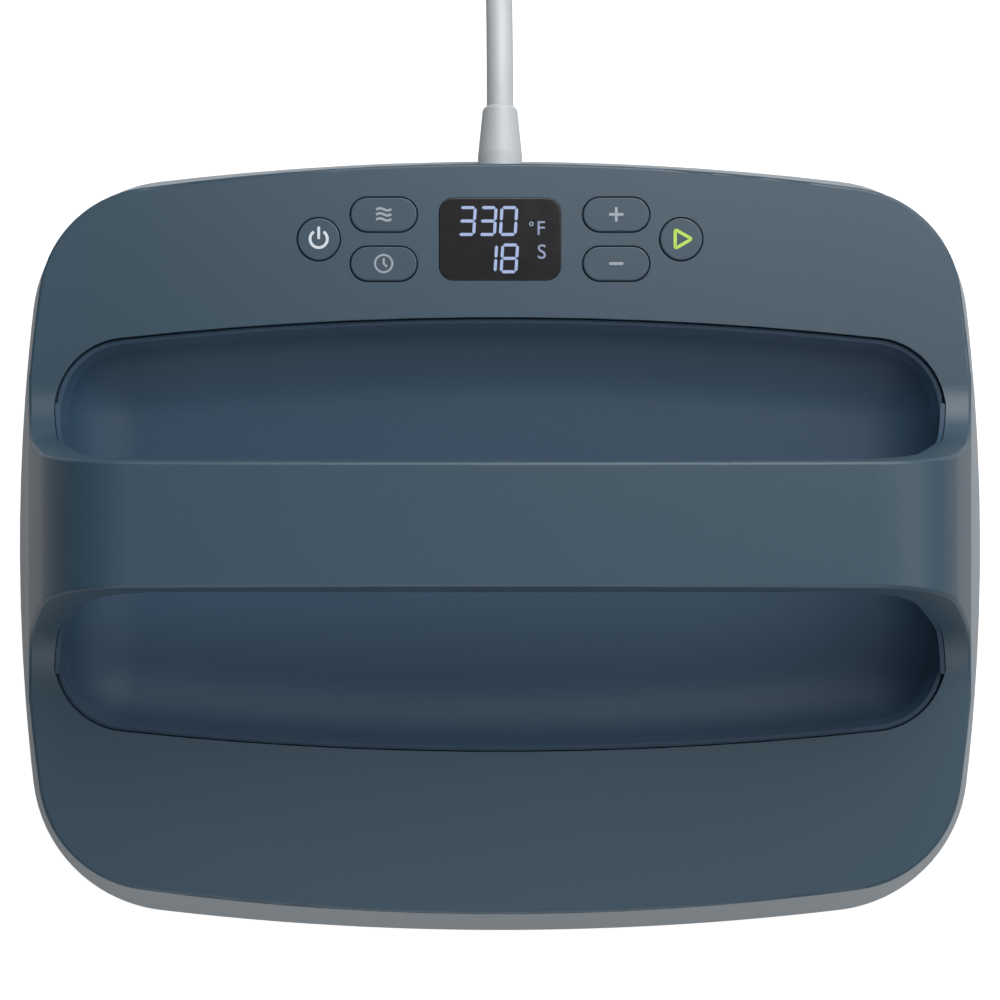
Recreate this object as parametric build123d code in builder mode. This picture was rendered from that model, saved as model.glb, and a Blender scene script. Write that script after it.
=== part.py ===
from build123d import *
from math import atan2, cos, degrees, pi, radians, sin, sqrt, tan
import os

os.makedirs("parts", exist_ok=True)

# Handheld heat press, in millimetres. X runs to the right along the grip, Y to the rear where the
# cord leaves, Z up. The origin is the centre of the heat plate's pressing face.

# Heat plate and what is stacked on it
plate_length = 305
plate_width = 254
plate_corner = 44
plate_side_crown = 6
plate_end_crown = 8
plate_thickness = 9
plate_edge_radius = 1.5
element_diameter = 6.4
element_sink = 5.2
element_side_margin = 34.5
element_end_margin = 35
element_bend_radius = 18
element_gap = 0.1
terminal_x = 22
terminal_step = -11
terminal_length = 14
pin_length = 8
pin_diameter = 2.6
blanket_gap = 0.3
blanket_thickness = 5.6
blanket_margin = 11
pocket_length = 64
pocket_width = 46
pocket_inset = 106
shield_gap = 0.3
shield_thickness = 0.8
shield_margin = 7
shield_rim = 5
lead_hole_step = 15
lead_hole_diameter = 7
standoff_inset = 10
standoff_y = 52
spacer_height = 3.8
standoff_diameter = 8
standoff_clearance = 0.4
screw_diameter = 4
screw_hole_gap = 0.1
screw_head_diameter = 7.4
screw_head_height = 2.4
screw_tip_height = 3

# Grey base housing: a skirt that flares from the parting line down to its widest line
skirt_side_margin = 16.5
skirt_end_margin = 8.3
skirt_corner = 51
side_crown = 10.5
end_crown = 12.5
skirt_bottom = 3
skirt_widest = 14
skirt_flare = 12
skirt_tuck = 2
skirt_round = 6
skirt_hem_radius = 1.4
split_height = 47
wall = 3
plate_window_gap = 0.6
flange_thickness = 3.5
partition_thickness = 2.5
split_groove = 0.4
tongue_gap = 0.2
tongue_height = 2
tongue_thickness = 1.2

# Blue upper shell: deck and grip arch
deck_rise = 10
crest_radius = 1.2
crest_overlap = 3.5
arch_height = 129.2
arch_crown = 2
arch_foot_margin = 0.1
arch_lean = 27.6
arch_bow = 1.72
arch_shoulder_radius = 32
grip_half_width = 18.4
grip_edge_drop = 2.2
grip_batter = 12
grip_foot_radius = 21

# Opening under the grip, and the dish in the deck
arm_foot_thickness = 10.7
deck_depth = 64
seam_end_crown = 9.3
seam_side_crown = 0.5
seam_corner = 24
seam_shift = 1.4
tunnel_foot_drop = 0.3
tunnel_foot_margin = 0.1
tunnel_bow = 1.13
shoulder_thickness = 10
grip_roof = 7.2
tunnel_crown = 0.1
tunnel_shoulder_radius = 30
seam_gap = 0.35
liner_thickness = 2.6
liner_lip = 1.4
arm_liner_thickness = 1.4
dish_depth = 17
dish_angle = 26
dish_back_angle = 19
dish_round = 23
liner_setback = 0.5
liner_foot_cut = 6
rim_drop = 0.3
rim_radius = 0.9
snap_length = 12
snap_reach = 2.2
snap_height = 2.4
snap_x = 84
leg_diameter = 8
leg_x = 92
leg_y = 34
grip_bar_depth = 17.5
grip_bar_round = 13
grip_bar_half_width = 18.9
grip_bar_pad_inset = 21.5
grip_screw_x = 66
grip_boss_diameter = 8
grip_bore_depth = 6

# Buttons, display and their board on the rear deck
control_inset = 37.1
pill_x = 38.1
pill_step = 8.05
round_button_x = 59.4
round_button_diameter = 13.9
pill_length = 21.8
pill_width = 11.2
button_gap = 0.4
button_rise = 0.3
button_edge_radius = 0.5
button_flange = 1
button_flange_thickness = 1.4
button_rest_gap = 0.3
button_travel = 0.6
stem_diameter = 4
display_length = 39.8
display_width = 27
display_corner = 4.7
window_gap = 0.15
window_flange = 2
window_flange_thickness = 1
gasket_thickness = 0.6
board_thickness = 1.6
board_depth = 13
board_length = 142
board_width = 34
switch_side = 6.2
switch_height = 3.6
plunger_diameter = 3.4
plunger_gap = 0.05
plunger_reach = 2
module_length = 37
module_width = 23
module_gap = 0.4
display_screw_x = 66.5
display_screw_y = 13
display_boss_diameter = 6

# Screws that hold the shell to the base
case_screw_side_inset = 38
case_screw_end_inset = 38.3
front_screw_x = 50
front_screw_inset = 28.3
case_boss_diameter = 9
case_screw_diameter = 3.5
case_screw_length = 13
case_head_diameter = 6.6
case_head_height = 2.2

# Power board and what stands on it
power_board_side_inset = 93
power_board_end_inset = 40.3
power_board_length = 92
power_board_width = 38
power_post_height = 5
power_screw_inset = 4.5
small_screw_diameter = 2.9
small_head_diameter = 5.4
small_head_height = 1.8
lead_diameter = 2.4
lead_radius = 3
lead_pitch = 6
lead_slant = 16
lead_round_trip = 22

# Fuse, sensor and their screws on the plate
fuse_x = 0
fuse_step = -13
fuse_diameter = 4
fuse_length = 11
fuse_strap_width = 6
fuse_strap_thickness = 0.6
fuse_screw_step = 6.5
sensor_x = 4
sensor_step = 2
sensor_lug_radius = 3.6
sensor_bead_diameter = 3.6
sensor_bead_length = 10
sensor_hole_step = 19
sensor_hole_diameter = 4
sensor_lead_diameter = 1.8
small_screw_depth = 4
grommet_neck_diameter = 5
grommet_collar_diameter = 7.4
grommet_collar_thickness = 1

# Parts on the power board
heatsink_step = -37
heatsink_length = 22
heatsink_base = 3
heatsink_fins = 6
heatsink_fin_reach = 9
heatsink_fin_thickness = 1.2
heatsink_height = 19
triac_width = 10
triac_height = 15
triac_thickness = 4.4
transformer_step = (-11, -8)
transformer_length = 20
transformer_width = 17
transformer_height = 16
relay_step = (-11, 10)
relay_length = 19
relay_width = 15
relay_height = 15
capacitor_step = (26, -12)
capacitor_length = 23
capacitor_width = 9
capacitor_headroom = 1.3
block_step = (36, 4)
block_length = 18
block_width = 13
block_headroom = 2.3
ribbon_step = (14, 4)
ribbon_width = 12
ribbon_thickness = 0.8
buzzer_x = 46
buzzer_diameter = 12
buzzer_height = 5.5
mains_lead_step = 2.35
mains_lead_lift = 1
mains_lead_diameter = 2.2
mains_turn_inset = 7.5
mains_turn_reach = 9

# Cord, its relief and its plug
clamp_screw_x = 11
clamp_post_diameter = 7
clamp_gap = 0.6
clamp_width = 9
clamp_length = 30
clamp_cap = 2.5
clamp_squeeze = 0.05
saddle_length = 10
saddle_drop = 2.5
cord_diameter = 9
cord_drop = 14
cord_straight = 30
cord_last_run = 44
relief_base_diameter = 15
relief_end_diameter = 11.6
relief_reach = 13.2
relief_flange_diameter = 18.4
relief_flange_thickness = 2.2
relief_seat_gap = 0.45
relief_shoulder_inset = 3.3
relief_end_radius = 1.8
relief_hole_gap = 0.2
tail_end_inset = 49.3
clamp_inset = 32.3
coil_mean_radius = 49.5
coil_pitch = 9.7
coil_layer_step = 9.5
coil_turns = 5
coil_centre_y = 277
plug_lead_length = 47
plug_length = 38
plug_width = 27
plug_waist = 14
plug_corner = 5
plug_lift = 0.5
blade_spacing = 12.7
blade_width = 6.4
blade_thickness = 1.5
blade_length = 16
ground_pin_offset = 11.9
ground_pin_diameter = 4.8
ground_pin_length = 18.6

# Sizes and places that follow from the ones above: the stack on the plate first
element_leg_x = plate_length / 2 - element_side_margin
element_leg_y = plate_width / 2 - element_end_margin
element_height = plate_thickness - element_sink + element_diameter / 2
standoff_x = element_leg_x - standoff_inset
pocket_y = plate_width / 2 - pocket_inset
terminal_y = pocket_y + terminal_step
lead_hole_y = pocket_y + lead_hole_step
fuse_y = pocket_y + fuse_step
sensor_y = pocket_y + sensor_step
sensor_hole_y = pocket_y + sensor_hole_step
blanket_bottom = element_height + element_diameter / 2 + blanket_gap
blanket_top = blanket_bottom + blanket_thickness
shield_bottom = blanket_top + shield_gap
shield_top = shield_bottom + shield_thickness
partition_height = shield_top + spacer_height
partition_top = partition_height + partition_thickness
power_board_height = partition_top + power_post_height

# Outer forms
skirt_half_width = plate_length / 2 + skirt_side_margin
skirt_half_depth = plate_width / 2 + skirt_end_margin
reach = skirt_half_width + skirt_half_depth
base_wall = wall + tongue_gap + tongue_thickness
base_top = split_height - split_groove
flare_angle = degrees(atan2(skirt_flare, split_height - skirt_widest))
deck_height = split_height + deck_rise
deck_underside = deck_height - wall
deck_half_width = skirt_half_width - skirt_flare
arch_apex_half = deck_half_width + arch_foot_margin - arch_lean
seam_half_width = deck_half_width - arm_foot_thickness
seam_half_depth = skirt_half_depth - deck_depth
grip_edge_height = arch_height - grip_edge_drop
tunnel_top = arch_height - grip_roof
tunnel_apex_half = arch_apex_half - shoulder_thickness
grip_bar_pad_half = tunnel_apex_half - grip_bar_pad_inset
dish_floor = deck_height - dish_depth

# Boards, screws and the cord's way out of the base
control_line = skirt_half_depth - control_inset
board_top = deck_height - board_depth
board_bottom = board_top - board_thickness
power_board_top = power_board_height + board_thickness
capacitor_height = board_bottom - capacitor_headroom - power_board_top
block_height = board_bottom - block_headroom - power_board_top
case_screw_x = skirt_half_width - case_screw_side_inset
case_screw_y = skirt_half_depth - case_screw_end_inset
front_screw_y = skirt_half_depth - front_screw_inset
power_board_x = power_board_side_inset - skirt_half_width
power_board_y = skirt_half_depth - power_board_end_inset
heatsink_x = power_board_x + heatsink_step
transformer_x = power_board_x + transformer_step[0]
transformer_y = power_board_y + transformer_step[1]
relay_x = power_board_x + relay_step[0]
relay_y = power_board_y + relay_step[1]
capacitor_x = power_board_x + capacitor_step[0]
capacitor_y = power_board_y + capacitor_step[1]
block_x = power_board_x + block_step[0]
block_y = power_board_y + block_step[1]
ribbon_x = power_board_x + ribbon_step[0]
ribbon_y = power_board_y + ribbon_step[1]
cord_height = split_height - cord_drop
tail_end = skirt_half_depth - tail_end_inset
clamp_y = skirt_half_depth - clamp_inset
mains_turn_x = block_x + block_length / 2 + mains_turn_reach
mains_turn_y = tail_end - mains_turn_inset
relief_shoulder_y = skirt_half_depth - relief_shoulder_inset
relief_end = skirt_half_depth + relief_reach


def skirt_inset_at(height):
    # How far the flared wall has drawn in at a height above its widest line
    return skirt_flare * (height - skirt_widest) / (split_height - skirt_widest)


relief_flange_top = cord_height + relief_flange_diameter / 2
relief_flange_back = skirt_half_depth - skirt_inset_at(relief_flange_top) - base_wall - relief_seat_gap
relief_flange_y = relief_flange_back - relief_flange_thickness


def crowned_outline(plane, half_width, half_depth, side, end, corner):
    # Rounded rectangle whose four sides bow outwards by the two crowns
    corner_x = half_width - side
    corner_y = half_depth - end
    with BuildSketch(plane) as outline:
        with BuildLine():
            ThreePointArc((corner_x, corner_y), (0, half_depth), (-corner_x, corner_y))
            ThreePointArc((-corner_x, corner_y), (-half_width, 0), (-corner_x, -corner_y))
            ThreePointArc((-corner_x, -corner_y), (0, -half_depth), (corner_x, -corner_y))
            ThreePointArc((corner_x, -corner_y), (half_width, 0), (corner_x, corner_y))
        make_face()
        fillet(outline.vertices(), radius=corner)
    return outline.sketch


def skirt_outline(height, inset):
    # The housing's outline, drawn in from its widest line by an inset
    return crowned_outline(
        Plane.XY.offset(height),
        skirt_half_width - inset,
        skirt_half_depth - inset,
        side_crown,
        end_crown,
        skirt_corner - inset,
    )


def seam_outline(height, inset):
    # The dish's outline in the deck, drawn in by an inset
    return crowned_outline(
        Plane((0, seam_shift, height)),
        seam_half_width - inset,
        seam_half_depth - inset,
        seam_side_crown,
        seam_end_crown,
        seam_corner - inset,
    )


def circle_through(low, middle, high):
    # Centre and radius of the arc through three points of a profile
    arc = Edge.make_three_point_arc(Vector(*low), Vector(*middle), Vector(*high))
    return arc.arc_center, arc.radius


def leaning_profile(foot, apex, bow, crown, shoulder, inset, bottom):
    # Front view of a form with two bowed flanks that lean together, under a crowned top, drawn in by an inset
    lean = Vector(*foot) - Vector(*apex)
    waist = (Vector(*foot) + Vector(*apex)) / 2 + Vector(-lean.Y, lean.X).normalized() * bow
    flank_centre, flank_radius = circle_through(foot, (waist.X, waist.Y), apex)
    top_centre, top_radius = circle_through((-apex[0], apex[1]), (0, apex[1] + crown), apex)
    with BuildSketch(Plane.XZ) as profile:
        with Locations((0, bottom)):
            top = top_centre.Y + top_radius
            Rectangle(2 * (foot[0] - inset), top - bottom, align=(Align.CENTER, Align.MIN))
        with Locations((flank_centre.X, flank_centre.Y)):
            Circle(flank_radius - inset, mode=Mode.INTERSECT)
        with Locations((-flank_centre.X, flank_centre.Y)):
            Circle(flank_radius - inset, mode=Mode.INTERSECT)
        with Locations((0, top_centre.Y)):
            Circle(top_radius - inset, mode=Mode.INTERSECT)
        apexes = profile.vertices().filter_by(lambda v: v.Y > waist.Y)
        fillet(apexes, radius=shoulder - inset)
    return profile.sketch


def arch_profile(inset, bottom):
    # Front view of the shell: bowed flanks, rounded shoulders and a slightly crowned top
    return leaning_profile(
        (deck_half_width + arch_foot_margin, split_height),
        (arch_apex_half, arch_height - arch_crown),
        arch_bow,
        arch_crown,
        arch_shoulder_radius,
        inset,
        bottom,
    )


def grip_foot_half():
    # Half the depth of the arm at the deck, where its concave foot starts
    batter = radians(grip_batter)
    tangent_height = deck_height + grip_foot_radius * (1 - sin(batter))
    tangent_half = grip_half_width + (grip_edge_height - tangent_height) * tan(batter)
    return tangent_half + grip_foot_radius * cos(batter)


def bell_profile(inset, bottom):
    # Side view of the shell: flat deck, concave foot, and the grip's flanks leaning together
    batter = radians(grip_batter)
    foot_rise = grip_foot_radius * (1 - sin(batter))
    tangent_height = deck_height + foot_rise
    foot_half = grip_foot_half()
    tangent_half = foot_half - grip_foot_radius * cos(batter)
    middle = radians(90 - grip_batter) / 2
    foot_middle = (
        foot_half - grip_foot_radius * sin(middle),
        deck_height + grip_foot_radius * (1 - cos(middle)),
    )
    top = arch_height + 2 * wall
    top_half = grip_half_width - (top - grip_edge_height) * tan(batter)
    depth = skirt_half_depth + wall
    with BuildSketch(Plane.YZ) as profile:
        with BuildLine():
            Line((0, bottom), (depth, bottom))
            Line((depth, bottom), (depth, deck_height))
            Line((depth, deck_height), (foot_half, deck_height))
            ThreePointArc((foot_half, deck_height), foot_middle, (tangent_half, tangent_height))
            Line((tangent_half, tangent_height), (top_half, top))
            Line((top_half, top), (0, top))
            mirror(about=Plane.YZ)
        make_face()
        if inset > 0:
            offset(amount=-inset, mode=Mode.REPLACE)
    return profile.sketch


def tunnel_profile(inset, bottom):
    # Front view of the opening that the shell leaves under the grip
    return leaning_profile(
        (seam_half_width + tunnel_foot_margin, deck_height - tunnel_foot_drop),
        (tunnel_apex_half, tunnel_top),
        tunnel_bow,
        tunnel_crown,
        tunnel_shoulder_radius,
        inset,
        bottom,
    )


# Cavity of the shell: its own outer form, drawn in by the wall
with BuildPart() as shell_cavity:
    extrude(skirt_outline(split_height - 2 * wall, skirt_flare + wall), amount=arch_height)
    extrude(arch_profile(wall, split_height - 3 * wall), amount=reach, both=True, mode=Mode.INTERSECT)
    extrude(bell_profile(wall, split_height - 3 * wall), amount=reach, both=True, mode=Mode.INTERSECT)

# Opening for the liners: the tunnel under the grip, no wider in plan than the seam
with BuildPart() as shell_opening:
    extrude(seam_outline(split_height - 2 * wall, 0), amount=arch_height)
    extrude(tunnel_profile(0, split_height - 3 * wall), amount=reach, both=True, mode=Mode.INTERSECT)

# The crest runs round the deck and up both arms. Its ends are rounded on two forms, one for the deck
# and one for the arch, which meet beside the feet of the arms.
foot_half = grip_foot_half()
crest_split = foot_half + crest_overlap


def crest_edges(form):
    # Edges round the outside, at the deck's level and above, without the seams between tangent faces
    chosen = form.edges().filter_by(lambda e: e.bounding_box().min.Z > deck_height - crest_radius / 2)
    chosen = chosen.filter_by(lambda e: e.bounding_box().max.Z < arch_height + crest_radius)
    along_deck = chosen.filter_by(lambda e: e.bounding_box().max.Z < deck_height + crest_radius / 2)
    return chosen.filter_by(GeomType.LINE, reverse=True) + along_deck.filter_by(Axis.Y)


with BuildPart() as deck_form:
    extrude(skirt_outline(split_height, skirt_flare), amount=arch_height)
    extrude(bell_profile(0, split_height - wall), amount=reach, both=True, mode=Mode.INTERSECT)
    fillet(crest_edges(deck_form), radius=crest_radius)
    Box(2 * reach, 2 * crest_split, 2 * reach, mode=Mode.SUBTRACT)

with BuildPart() as arch_form:
    extrude(arch_profile(0, split_height), amount=crest_split, both=True)
    extrude(bell_profile(0, split_height - wall), amount=reach, both=True, mode=Mode.INTERSECT)
    fillet(crest_edges(arch_form), radius=crest_radius)
    extrude(skirt_outline(split_height, skirt_flare), amount=arch_height, mode=Mode.INTERSECT)

# Places of the screws, bosses and buttons
case_screw_points = [
    (x, y)
    for x in (-case_screw_x, case_screw_x)
    for y in (-case_screw_y, case_screw_y)
] + [(-front_screw_x, -front_screw_y), (front_screw_x, -front_screw_y)]
clip_screw_points = [
    (fuse_x, fuse_y - fuse_screw_step),
    (fuse_x, fuse_y + fuse_screw_step),
    (sensor_x, sensor_y),
]
standoff_points = [(x, y) for x in (-standoff_x, 0, standoff_x) for y in (-standoff_y, standoff_y)]
display_screw_points = [
    (x, control_line + y)
    for x in (-display_screw_x, display_screw_x)
    for y in (-display_screw_y, display_screw_y)
]
pills = {
    "temperature_button": (-pill_x, control_line + pill_step),
    "timer_button": (-pill_x, control_line - pill_step),
    "plus_button": (pill_x, control_line + pill_step),
    "minus_button": (pill_x, control_line - pill_step),
}
rounds = {
    "power_button": (-round_button_x, control_line),
    "start_button": (round_button_x, control_line),
}
button_points = list(rounds.values()) + list(pills.values())

with BuildPart() as upper_shell:
    add(deck_form.part)
    add(arch_form.part)
    add(shell_cavity.part, mode=Mode.SUBTRACT)
    # Bosses for the case screws reach down to the base's partition
    with BuildSketch(Plane.XY.offset(partition_top)):
        with Locations(*case_screw_points):
            Circle(case_boss_diameter / 2)
    extrude(amount=deck_underside - partition_top + 0.5)
    # Bosses that carry the display board
    with BuildSketch(Plane.XY.offset(board_top)):
        with Locations(*display_screw_points):
            Circle(display_boss_diameter / 2)
    extrude(amount=deck_underside - board_top + 0.5)
    add(shell_opening.part, mode=Mode.SUBTRACT)
    # Bosses inside the grip for the screws of its underside
    with BuildSketch(Plane.XY.offset(tunnel_top)):
        with Locations((-grip_screw_x, 0), (grip_screw_x, 0)):
            Circle(grip_boss_diameter / 2)
    extrude(amount=arch_height - arch_crown - tunnel_top - wall / 2)
    # Openings for the buttons and the display window
    with BuildSketch(Plane.XY.offset(deck_underside - wall)):
        with Locations(*rounds.values()):
            Circle(round_button_diameter / 2 + button_gap)
        with Locations(*pills.values()):
            SlotOverall(pill_length + 2 * button_gap, pill_width + 2 * button_gap)
        with Locations((0, control_line)):
            RectangleRounded(
                display_length + 2 * window_gap, display_width + 2 * window_gap, display_corner + window_gap
            )
    extrude(amount=3 * wall, mode=Mode.SUBTRACT)
    # Pilot holes in the bosses
    with Locations(*[(x, y, partition_top) for x, y in case_screw_points]):
        Cylinder(
            case_screw_diameter / 2 + screw_hole_gap / 2,
            case_screw_length + 1,
            align=(Align.CENTER, Align.CENTER, Align.MIN),
            mode=Mode.SUBTRACT,
        )
    with Locations(*[(x, y, board_top) for x, y in display_screw_points]):
        Cylinder(
            small_screw_diameter / 2 + screw_hole_gap / 2,
            deck_underside - board_top - 1,
            align=(Align.CENTER, Align.CENTER, Align.MIN),
            mode=Mode.SUBTRACT,
        )
    with Locations((-grip_screw_x, 0, tunnel_top), (grip_screw_x, 0, tunnel_top)):
        Cylinder(
            case_screw_diameter / 2 + screw_hole_gap / 2,
            arch_height - arch_crown - tunnel_top - wall,
            align=(Align.CENTER, Align.CENTER, Align.MIN),
            mode=Mode.SUBTRACT,
        )
upper_shell.part.label = "upper_shell"
export_step(upper_shell.part, "parts/upper_shell.step")

# Dish liner: a bowl whose rim lies in the deck's seam, with snap lugs under the deck and legs below
dish_top = deck_height - rim_drop
with BuildPart() as dish_bowl:
    extrude(
        seam_outline(dish_top, seam_gap + liner_lip),
        amount=dish_top - dish_floor,
        dir=(0, 0, -1),
        taper=dish_angle,
    )
    fillet(dish_bowl.faces().sort_by(Axis.Z)[0].edges(), radius=dish_round)

with BuildPart() as dish_liner:
    dish_under = dish_floor - liner_thickness
    bowl_height = dish_top - dish_under
    extrude(seam_outline(dish_top, seam_gap), amount=bowl_height, dir=(0, 0, -1), taper=dish_back_angle)
    fillet(dish_liner.faces().sort_by(Axis.Z)[0].edges(), radius=dish_round)
    # Legs stand on the partition and carry the hand's push
    with BuildSketch(Plane.XY.offset(partition_top)):
        with GridLocations(2 * leg_x, 2 * leg_y, 2, 2):
            Circle(leg_diameter / 2)
    extrude(amount=dish_under - partition_top + 0.5)
    # Snap lugs catch under the deck at the front and the rear
    snap_half = seam_half_depth - seam_end_crown * (snap_x / seam_half_width) ** 2 + snap_reach
    with BuildSketch(Plane.XY.offset(deck_underside - seam_gap)):
        with Locations((-snap_x, seam_shift), (snap_x, seam_shift)):
            Rectangle(snap_length, 2 * snap_half)
    extrude(amount=-snap_height)
    add(dish_bowl.part, mode=Mode.SUBTRACT)
    rim = dish_liner.faces().sort_by(Axis.Z)[-1]
    fillet(rim.inner_wires().edges(), radius=rim_radius)
dish_liner.part.label = "dish_liner"
export_step(dish_liner.part, "parts/dish_liner.step")

# Liners of the two arms: skins that follow the tunnel's flanks up into its shoulders
with BuildPart() as arm_liners:
    extrude(tunnel_profile(seam_gap, split_height), amount=reach, both=True)
    inner_profile = tunnel_profile(seam_gap + arm_liner_thickness, split_height - wall)
    extrude(inner_profile, amount=reach, both=True, mode=Mode.SUBTRACT)
    extrude(bell_profile(liner_setback, split_height), amount=reach, both=True, mode=Mode.INTERSECT)

for side, name in ((-1, "left_arm_liner"), (1, "right_arm_liner")):
    with BuildPart() as arm_liner:
        add(arm_liners.part)
        with Locations((side * (grip_bar_pad_half + seam_gap + reach / 2), 0, deck_height)):
            Box(
                reach,
                2 * (foot_half - liner_foot_cut),
                tunnel_top - deck_height,
                align=(Align.CENTER, Align.CENTER, Align.MIN),
                mode=Mode.INTERSECT,
            )
    arm_liner.part.label = name
    export_step(arm_liner.part, f"parts/{name}.step")

# Underside of the grip: a rounded bar between the arm liners, with a pad that reaches up to the shell
bar_top = tunnel_top - seam_gap
bar_bottom = bar_top - grip_bar_depth
with BuildPart() as between_liners:
    bar_ends = tunnel_profile(seam_gap + arm_liner_thickness + tongue_gap, split_height)
    extrude(bar_ends, amount=reach, both=True)
    with Locations((0, 0, bar_bottom)):
        Box(
            2 * grip_bar_pad_half,
            2 * reach,
            grip_bar_depth,
            align=(Align.CENTER, Align.CENTER, Align.MIN),
        )

with BuildPart() as grip_underside:
    with BuildSketch(Plane.YZ) as bar_section:
        with Locations((0, bar_bottom + grip_bar_depth / 2)):
            Rectangle(2 * grip_bar_half_width, grip_bar_depth)
        low_corners = bar_section.vertices().group_by(Axis.Y)[0]
        fillet(low_corners, radius=grip_bar_round)
    extrude(amount=seam_half_width, both=True)
    add(between_liners.part, mode=Mode.INTERSECT)
    with Locations((-grip_screw_x, 0, bar_bottom), (grip_screw_x, 0, bar_bottom)):
        Cylinder(
            case_screw_diameter / 2 + screw_hole_gap,
            grip_bar_depth + 1,
            align=(Align.CENTER, Align.CENTER, Align.MIN),
            mode=Mode.SUBTRACT,
        )
        Cylinder(
            case_head_diameter / 2 + screw_hole_gap * 4,
            grip_bore_depth,
            align=(Align.CENTER, Align.CENTER, Align.MIN),
            mode=Mode.SUBTRACT,
        )
grip_underside.part.label = "grip_underside"
export_step(grip_underside.part, "parts/grip_underside.step")

# Base housing: flared skirt, partition over the hot bay, bottom flange round the plate
power_screw_points = [
    (power_board_x + x, power_board_y + y)
    for x in (power_screw_inset - power_board_length / 2, power_board_length / 2 - power_screw_inset)
    for y in (power_screw_inset - power_board_width / 2, power_board_width / 2 - power_screw_inset)
]
clamp_screw_points = [(-clamp_screw_x, clamp_y), (clamp_screw_x, clamp_y)]


def plate_outline(height, inset):
    # The heat plate's outline, drawn in by an inset
    return crowned_outline(
        Plane.XY.offset(height),
        plate_length / 2 - inset,
        plate_width / 2 - inset,
        plate_side_crown,
        plate_end_crown,
        plate_corner - inset,
    )


with BuildPart() as base_housing:
    extrude(skirt_outline(skirt_widest, 0), amount=base_top - skirt_widest, taper=flare_angle)
    tuck_height = skirt_widest - skirt_bottom
    tuck_angle = degrees(atan2(skirt_tuck, tuck_height))
    extrude(skirt_outline(skirt_widest, 0), amount=tuck_height, dir=(0, 0, -1), taper=tuck_angle)
    widest_edges = base_housing.edges().filter_by(lambda e: abs(e.center().Z - skirt_widest) < 0.01)
    fillet(widest_edges, radius=skirt_round)
    fillet(base_housing.faces().sort_by(Axis.Z)[0].edges(), radius=skirt_hem_radius)
    # Upper bay, and the tongue that locates the shell
    extrude(
        skirt_outline(partition_top, skirt_inset_at(partition_top) + base_wall),
        amount=base_top - partition_top + 1,
        taper=flare_angle,
        mode=Mode.SUBTRACT,
    )
    tongue_inset = skirt_flare + wall + tongue_gap
    extrude(skirt_outline(base_top - tongue_height, tongue_inset), amount=tongue_height * 2)
    extrude(
        skirt_outline(base_top - tongue_height, tongue_inset + tongue_thickness),
        amount=tongue_height * 2,
        mode=Mode.SUBTRACT,
    )
    # Hot bay and the window for the plate
    flange_top = skirt_bottom + flange_thickness
    extrude(
        skirt_outline(flange_top, skirt_inset_at(partition_height) + base_wall),
        amount=partition_height - flange_top,
        mode=Mode.SUBTRACT,
    )
    extrude(plate_outline(skirt_bottom - 1, -plate_window_gap), amount=plate_thickness, mode=Mode.SUBTRACT)
    # Posts for the power board and the cord clamp, and the saddle under the cord
    with BuildSketch(Plane.XY.offset(partition_top - 0.5)):
        with Locations(*power_screw_points):
            Circle(small_head_diameter / 2 + 0.4)
    extrude(amount=power_board_height - partition_top + 0.5)
    with BuildSketch(Plane.XY.offset(partition_top - 0.5)):
        with Locations(*clamp_screw_points):
            Circle(clamp_post_diameter / 2)
    extrude(amount=cord_height - clamp_gap - partition_top + 0.5)
    with BuildSketch(Plane.XY.offset(partition_top - 0.5)):
        with Locations((0, clamp_y)):
            Rectangle(saddle_length, clamp_width)
    extrude(amount=cord_height - saddle_drop - partition_top + 0.5)
    with Locations(Location((0, clamp_y, cord_height), (90, 0, 0))):
        Cylinder(cord_diameter / 2 + clamp_squeeze, 2 * clamp_width, mode=Mode.SUBTRACT)
    # Hole for the strain relief
    with Locations(Location((0, relief_flange_y, cord_height), (-90, 0, 0))):
        Cylinder(
            relief_base_diameter / 2 + relief_hole_gap,
            8 * wall,
            align=(Align.CENTER, Align.CENTER, Align.MIN),
            mode=Mode.SUBTRACT,
        )
    # Screw holes, and the holes for the element's and the sensor's leads
    with Locations(*[(x, y, partition_height) for x, y in case_screw_points]):
        Cylinder(case_screw_diameter / 2 + screw_hole_gap * 2, 4 * partition_thickness, mode=Mode.SUBTRACT)
    with Locations(*[(x, y, partition_height) for x, y in standoff_points]):
        Cylinder(screw_diameter / 2 + screw_hole_gap, 4 * partition_thickness, mode=Mode.SUBTRACT)
    with Locations(*[(x, lead_hole_y, partition_height) for x in (-terminal_x, terminal_x)]):
        Cylinder(grommet_neck_diameter / 2 + screw_hole_gap, 4 * partition_thickness, mode=Mode.SUBTRACT)
    with Locations((sensor_x, sensor_hole_y, partition_height)):
        Cylinder(sensor_hole_diameter / 2, 4 * partition_thickness, mode=Mode.SUBTRACT)
    with Locations(*[(x, y, power_board_height) for x, y in power_screw_points]):
        Cylinder(
            small_screw_diameter / 2 + screw_hole_gap / 2,
            power_board_height - partition_top,
            align=(Align.CENTER, Align.CENTER, Align.MAX),
            mode=Mode.SUBTRACT,
        )
    with Locations(*[(x, y, cord_height - clamp_gap) for x, y in clamp_screw_points]):
        Cylinder(
            small_screw_diameter / 2 + screw_hole_gap / 2,
            cord_height - clamp_gap - partition_top,
            align=(Align.CENTER, Align.CENTER, Align.MAX),
            mode=Mode.SUBTRACT,
        )
base_housing.part.label = "base_housing"
export_step(base_housing.part, "parts/base_housing.step")

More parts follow.
